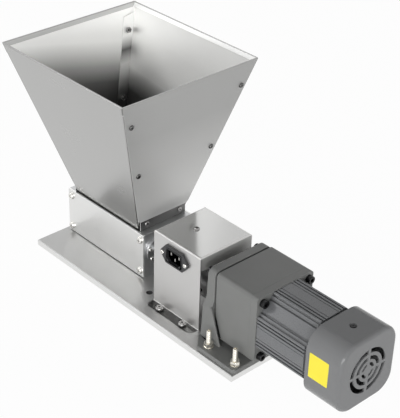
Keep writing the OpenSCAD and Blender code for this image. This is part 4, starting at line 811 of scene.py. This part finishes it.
# Motor bracket. A grey painted casting: an upright that the gearbox is bolted to, with a waist and
# a gusset on each side, and a foot that four studs hold to the base.
cast_grey = coated("cast_grey_paint", (0.178, 0.181, 0.176), 0.42, 1100, 0.12, 0.05, gloss=0.35)
upright_thick = 0.0165
gap_half, gap_foot, gap_top = 0.0026, 0.0064, 0.09
bracket_edge = 0.0008
case_low, case_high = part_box("gearbox_housing")
bracket_low, bracket_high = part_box("motor_bracket")
seam_x = bracket_low.x + upright_thick
bracket = rounded_copy("motor_bracket", 0)
for y in (case_low.y, case_high.y):
    cut(bracket, block("gusset_gap", (seam_x, y - gap_half, bracket_low.z + gap_foot),
                       (bracket_high.x, y + gap_half, gap_top)))
soften(bracket, bracket_edge, 3)
smooth(bracket)
fit(bracket, cast_grey, "frame", "motor_bracket")


# Studs and nuts. Bright plated studs with a rolled thread stand in the base, and a washer and a
# chamfered nut on each pull the bracket down.
def stud(radius, length, pitch):
    """A threaded stud whose top is at the origin."""
    core, dish_rim, dish_depth = 0.86, 0.3, 0.7
    deselect()
    bpy.ops.mesh.primitive_circle_add(vertices=28, radius=radius * core, fill_type="NGON",
                                      location=(0, 0, -length))
    piece = settle("stud")
    pick(piece, "FACE", lambda at, normal: True)
    steps = int(length / pitch) * 2
    for step in range(steps):
        draw_faces((0, 0, length / steps))
        ratio = 1 / core if step % 2 == 0 else core
        bpy.ops.transform.resize(value=(ratio, ratio, 1))
    bpy.ops.mesh.inset(thickness=radius * dish_rim)
    draw_faces((0, 0, -radius * dish_depth))
    face_outward(piece)
    smooth(piece, 40)
    return piece


def nut(flats, height, bore):
    """A nut whose top is at the origin, with its corners turned off at both ends."""
    corner, wider, longer = 0.085, 1.01, 0.001
    radius = flats / math.sqrt(3)
    piece = rod("nut", radius, (0, 0, -height), (0, 0, 0), 6)
    turned = rod("turned", radius * wider, (0, 0, -height * (1 + longer)), (0, 0, height * longer))
    ease(turned, "FACE", lambda at, normal: abs(normal.z) > STRAIGHT, flats * corner, 2)
    cut(piece, turned, "INTERSECT")
    cut(piece, rod("bore", bore, (0, 0, -height * 2), (0, 0, height), 32))
    smooth(piece, 30)
    return piece


plated = brushed("plated_stud", (0.80, 0.77, 0.70), 0.22, "Z", 0.06, 0.02)
stud_low, stud_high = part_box("bracket_studs")
nut_low, nut_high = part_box("bracket_nuts")
washer_edge = 0.0002
model = stud(radius=0.00295, length=stud_high.z - stud_low.z, pitch=0.001)
fasten(model, "bracket_studs", [Z], plated)
model = nut(flats=0.010, height=nut_high.z - nut_low.z, bore=0.00305)
fasten(model, "bracket_nuts", [Z], plated, turn=23)
fit(rounded_copy("bracket_washers", washer_edge), plated, "frame", "bracket_washers")


# Socket head screws. Black screws with a hexagon recess hold the gearbox to the bracket in front
# and the motor to the gearbox behind.
def socket_screw(radius, height, shank, length):
    """A socket head screw whose head top is at the origin."""
    corner, hexagon, hexagon_depth, shank_top = 0.12, 0.56, 0.55, 0.8
    head = rod("socket_head", radius, (0, 0, -height), (0, 0, 0))
    ease(head, "FACE", lambda at, normal: normal.z > STRAIGHT, radius * corner, 3)
    cut(head, rod("hexagon", radius * hexagon, (0, 0, -height * hexagon_depth), (0, 0, height), 6))
    stem = rod("socket_shank", shank, (0, 0, -height - length), (0, 0, -height * shank_top), 24)
    piece = join("socket_screw", [head, stem])
    smooth(piece, 35)
    return piece


head_height = 0.006
for node, way in (("bracket_face_screws", -X), ("frame_bolts", X)):
    low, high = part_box(node)
    length = high.x - low.x - head_height
    screw = socket_screw(radius=0.005, height=head_height, shank=0.003, length=length)
    fasten(screw, node, [way], black_steel_and_shade)


# Gearbox. A square die cast case in grey paint, with its corners rounded along the shaft, closed by
# the motor's front flange. A groove runs round it where it meets the bracket, painted black as shade,
# and the case's sides behind the gussets and the gaps beside them are painted shade too.
seam_wide, seam_deep, seam_corner = 0.003, 0.003, 0.003
clear = 0.01
case_edge = 0.00025
gusset_reach, gusset_rise, gusset_sole = 0.0165, 0.0465, 0.006
gearbox = rounded_copy("gearbox_housing", 0)
core = block("core", (seam_x - 2 * clear, case_low.y + seam_deep, case_low.z + seam_deep),
             (seam_x + 2 * clear, case_high.y - seam_deep, case_high.z - seam_deep))
ease(core, "EDGE", lambda at, way: abs(way.x) > STRAIGHT, seam_corner, 4)
ring = block("ring", (seam_x - NEAR / 2, case_low.y - clear, case_low.z - clear),
             (seam_x + seam_wide, case_high.y + clear, case_high.z + clear))
cut(ring, core)
cut(gearbox, ring)
soften(gearbox, case_edge, 2)
gusset_foot = Vector((seam_x + gusset_reach, 0, bracket_low.z + gusset_sole))
gusset_way = Vector((gusset_rise, 0, gusset_reach)).normalized()


def on_case_side(at, normal):
    """Accepts the faces of the gearbox's near and far sides."""
    return abs(normal.y) > 0.99 and min(at.y - case_low.y, case_high.y - at.y) < NEAR / 2


# The sides are split along the gussets' slanted edges, where the painted shade behind them ends.
pick(gearbox, "FACE", on_case_side)
bpy.ops.mesh.bisect(plane_co=gusset_foot, plane_no=gusset_way)
bpy.ops.object.mode_set(mode="OBJECT")
smooth(gearbox)
fit(gearbox, cast_grey, "frame", "gearbox_housing")
fit(rounded_copy("motor_flange", case_edge), cast_grey, "frame", "motor_flange")
# Painted shade: black on the groove, on the sides behind the gussets and in the gaps beside them.
painted_gap_shade = coated("painted_gap_shade", (0.012, 0.012, 0.012), 0.6, 900, 0.1, 0.2)
refinish(gearbox, painted_gap_shade, lambda at, normal: at.x < seam_x + seam_wide + NEAR / 10
         or (on_case_side(at, normal) and (at - gusset_foot).dot(gusset_way) < 0))
refinish(bracket, painted_gap_shade, lambda at, normal: at.x > seam_x + 0.3 * NEAR
         and at.z > bracket_low.z + 8 * NEAR and abs(normal.y) > STRAIGHT
         and min(abs(at.y - case_low.y), abs(at.y - case_high.y)) < 3 * NEAR)


# Motor body. An eight-sided aluminium extrusion, painted a slightly bluer grey, with cooling
# grooves beside each edge: a pair of deep ones and a narrow third one.
motor_grey = coated("motor_body_paint", (0.148, 0.152, 0.158), 0.3, 1100, 0.03, 0.05)
low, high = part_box("motor_body")
fan_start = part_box("fan_cover")[0].x
middle = (low + high) / 2
reach = 0.05
neck_wide, neck_deep, neck_corner, neck_end = 0.0035, 0.0028, 0.0215, 0.0003
half_face, edge_land, third_groove = 0.02, 0.0045, 0.0075
groove_half, groove_depth, groove_stop = 0.0006, 0.0009, 0.001
body_edge = 0.0004
body = rounded_copy("motor_body", 0)
ring = block("ring", (fan_start - neck_wide, middle.y - reach, middle.z - reach),
             (fan_start + neck_end, middle.y + reach, middle.z + reach))
core = block("core", (fan_start - clear, low.y + neck_deep, low.z + neck_deep),
             (fan_start + clear, high.y - neck_deep, high.z - neck_deep))
ease(core, "EDGE", lambda at, way: abs(way.x) > STRAIGHT, neck_corner, 1)
cut(ring, core)
cut(body, ring)
cutters = []
for turn in range(8):
    for side in (-1, 1):
        across = side * (half_face - edge_land - third_groove)
        cutter = block("groove", (low.x - clear, across - groove_half, high.z - middle.z - groove_depth),
                       (fan_start - groove_stop, across + groove_half, high.z - middle.z + clear))
        turned = Matrix.Translation(middle) @ Matrix.Rotation(math.radians(45 * turn), 4, "X")
        cutter.data.transform(turned @ Matrix.Translation((-middle.x, 0, 0)))
        cutters.append(cutter)
cut(body, join("grooves", cutters))
soften(body, body_edge, 2)
smooth(body)
fit(body, motor_grey, "frame", "motor_body")
# The neck before the fan cover is painted black: painted shade.
refinish(body, black_steel_and_shade, lambda at, normal: at.x > fan_start - neck_wide + neck_end)


# Fan cover. A deep drawn cap over the cooling fan with large corner radii, a soft rear edge and
# three rings of slots. A recessed screw holds it above and below.
fan_low, fan_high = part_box("fan_cover")
fan_mid = (fan_low + fan_high) / 2
fan_wall = 0.0025
fan_corner, fan_rear_edge, fan_edge = 0.024, 0.0046, 0.00035
slot_rings = ((0.0065, 0.010), (0.014, 0.0185), (0.023, 0.0285))
slot_start, slot_depth = 0.008, 0.016
bar_length, bar_width, bar_depth = 0.08, 0.004, 0.03
seat_radius, seat_depth = 0.0045, 0.0011
fan_cap = block("fan_cap", fan_low, fan_high)
ease(fan_cap, "EDGE", lambda at, way: abs(way.x) > STRAIGHT, fan_corner, 14)
ease(fan_cap, "FACE", lambda at, normal: normal.x > STRAIGHT, fan_rear_edge, 6)
pick(fan_cap, "FACE", lambda at, normal: normal.x < -STRAIGHT)
bpy.ops.mesh.delete(type="FACE")
bpy.ops.object.mode_set(mode="OBJECT")
work(fan_cap, "SOLIDIFY", thickness=fan_wall, offset=-1, use_even_offset=True)
start = Vector((fan_high.x - slot_start, fan_mid.y, fan_mid.z))
for inner, outer in slot_rings:
    ring = rod("slot_ring", outer, start, start + X * slot_depth, 64)
    cut(ring, rod("slot_core", inner, start - X * clear, start + X * bar_depth, 64))
    for wide, tall in ((bar_length, bar_width), (bar_width, bar_length)):
        cut(ring, block("slot_bar", start + Vector((-clear, -wide / 2, -tall / 2)),
                        start + Vector((bar_depth, wide / 2, tall / 2))))
    cut(fan_cap, ring)
for middle, way in seats("fan_cover_screws", [Z, -Z]):
    cut(fan_cap, rod("recess", seat_radius, middle - way * seat_depth, middle + way * clear, 40))
soften(fan_cap, fan_edge, 2, 50)
smooth(fan_cap, 30)
fan_grey = coated("fan_cover_paint", (0.18, 0.183, 0.186), 0.14, 1000, 0.004, 0.03, gloss=0.45)
fan_flat_grey = coated("fan_cover_flat_paint", (0.18, 0.183, 0.186), 0.5, 1000, 0.004, 0.03, gloss=0.35)
fit(fan_cap, fan_grey, "frame", "fan_cover")
refinish(fan_cap, fan_flat_grey, lambda at, normal: abs(normal.z) > 0.97)
screw = pan_screw(radius=0.0034, height=0.0011, shank=0.002, length=0.005)
fasten(screw, "fan_cover_screws", [Z, -Z], black_steel_and_shade)


# Label. A plain yellow vinyl sticker with rounded corners. It lies flat on the fan cover's near
# side, and its film is thin enough to show no more than a fine edge.
label_low = Vector((0.2755, fan_low.y - 0.00015, 0.0515))
label_high = Vector((0.303, fan_low.y + 0.0001, 0.0838))
label_corner, label_edge = 0.0012, 0.00005
label = block("plain_label", label_low, label_high)
ease(label, "EDGE", lambda at, way: abs(way.y) > STRAIGHT, label_corner, 4)
soften(label, label_edge, 1, 60)
label_yellow = coated("label_vinyl", (0.90, 0.77, 0.045), 0.35, 500, 0.03, 0.03)
fit(label, label_yellow, "frame")


# Inside the gear motor. Steel shafts and wheels on ground bearings, a stack of laminations with
# copper windings, and a moulded fan that nothing shows of but its blades behind the slots.
gear_metal = brushed("ground_gear", (0.50, 0.505, 0.51), 0.3, "X", 0.06, 0.03)
race_metal = brushed("bearing_ring", (0.66, 0.66, 0.67), 0.18, "X", 0.03, 0.01)
stack_metal = brushed("lamination_stack", (0.30, 0.30, 0.31), 0.42, "Y", 0.12, 0.1)
copper = coated("wound_copper", (0.55, 0.22, 0.08), 0.35, 1400, 0.3, 0.15, 0.8)
fan_plastic = coated("fan_plastic", (0.03, 0.031, 0.033), 0.45, 900, 0.06, 0.1)
for node in ("output_shaft", "output_wheel", "intermediate_gear", "rotor_shaft"):
    dress(node, gear_metal)
for node in ("gear_bearings", "rotor_bearings"):
    dress(node, race_metal)
for node in ("stator_core", "rotor_core"):
    dress(node, stack_metal)
dress("stator_windings", copper)
dress("motor_end_bell", cast_grey)
dress("cooling_fan", fan_plastic)


# Studio. A pale floor and a white surround, which is brighter near the horizon than overhead. A
# broad lamp stands on the near side and a weak one behind, and two small ones put a sheen on the
# edges and on the faces that turn toward them.
def emission_mix(nodes, links, surface, strength):
    """Lets camera, glossy and transmitted rays see white in place of part of a surface."""
    path = add_node(nodes, "LightPath")
    seen, through, share = (add_node(nodes, "Math") for number in range(3))
    seen.operation = through.operation = "MAXIMUM"
    share.operation = "MULTIPLY"
    share.inputs[1].default_value = strength
    links.new(path.outputs["Is Camera Ray"], seen.inputs[0])
    links.new(path.outputs["Is Glossy Ray"], seen.inputs[1])
    links.new(seen.outputs["Value"], through.inputs[0])
    links.new(path.outputs["Is Transmission Ray"], through.inputs[1])
    links.new(through.outputs["Value"], share.inputs[0])
    mix = add_node(nodes, "MixShader")
    white = add_node(nodes, "Emission")
    links.new(share.outputs["Value"], mix.inputs["Fac"])
    links.new(surface.outputs[0], mix.inputs[1])
    links.new(white.outputs[0], mix.inputs[2])
    return mix


deselect()
bpy.ops.mesh.primitive_plane_add(size=12)
floor = bpy.context.object
floor.name = "floor"
floor_paint, nodes, links, shader = bare_material("floor_paint", metallic=0)
shader.inputs["Base Color"].default_value = (0.82, 0.82, 0.82, 1)
shader.inputs["Roughness"].default_value = 0.9
mixed = emission_mix(nodes, links, shader, 0.97)
links.new(mixed.outputs[0], nodes["Material Output"].inputs["Surface"])
floor.data.materials.append(floor_paint)

world = bpy.data.worlds.new("studio")
bpy.context.scene.world = world
world.use_nodes = True
nodes, links = world.node_tree.nodes, world.node_tree.links
soft = nodes["Background"]
soft.inputs["Color"].default_value = (1, 1, 1, 1)
sky = add_node(nodes, "TexCoord")
height = add_node(nodes, "SeparateXYZ")
fall = add_node(nodes, "MapRange", From_Min=0, From_Max=0.75, To_Min=1.6, To_Max=0)
links.new(sky.outputs["Generated"], height.inputs[0])
links.new(height.outputs["Z"], fall.inputs["Value"])
links.new(fall.outputs["Result"], soft.inputs["Strength"])
mixed = emission_mix(nodes, links, soft, 1.0)
links.new(mixed.outputs[0], nodes["World Output"].inputs["Surface"])


def lamp(name, location, target, size, power):
    """A square lamp, in metres and watts, that faces a point."""
    turn = (Vector(location) - Vector(target)).to_track_quat("Z", "Y").to_euler()
    deselect()
    bpy.ops.object.light_add(type="AREA", location=location, rotation=turn)
    light = bpy.context.object
    light.name = name
    light.data.size = size
    light.data.energy = power


lamp("front_lamp", (1.2, -2.3, 0.5), (0, 0, 0.1), size=1.6, power=27)
lamp("back_lamp", (-1.6, 1.4, 1.8), (0, 0, 0.1), size=1.4, power=2)
lamp("edge_lamp", (-1.35, -1.33, 1.35), (0.3, 0, 0.06), size=0.4, power=5)
lamp("glint_lamp", (2.1, -1.57, 0.54), (0.3, 0, 0.08), size=0.4, power=15)

# The camera stands to the right and near side and looks down on the motor's end.
azimuth, tip, roll = math.radians(48.428), math.radians(31.839), math.radians(0.845)
back = Vector((math.sin(azimuth) * math.cos(tip), -math.cos(azimuth) * math.cos(tip), math.sin(tip)))
level = Vector((math.cos(azimuth), math.sin(azimuth), 0))
above = back.cross(level)
right = math.cos(roll) * level + math.sin(roll) * above
upward = math.cos(roll) * above - math.sin(roll) * level
view = Matrix((right, upward, back)).transposed().to_euler()
deselect()
bpy.ops.object.camera_add(location=(0.9448, -0.8625, 0.8950), rotation=view)
camera = bpy.context.object
camera.data.sensor_width = 36
camera.data.lens = 105.36
camera.data.shift_x = 0.0761
camera.data.shift_y = 0.0110
bpy.context.scene.camera = camera
bpy.context.scene.view_settings.view_transform = "Standard"
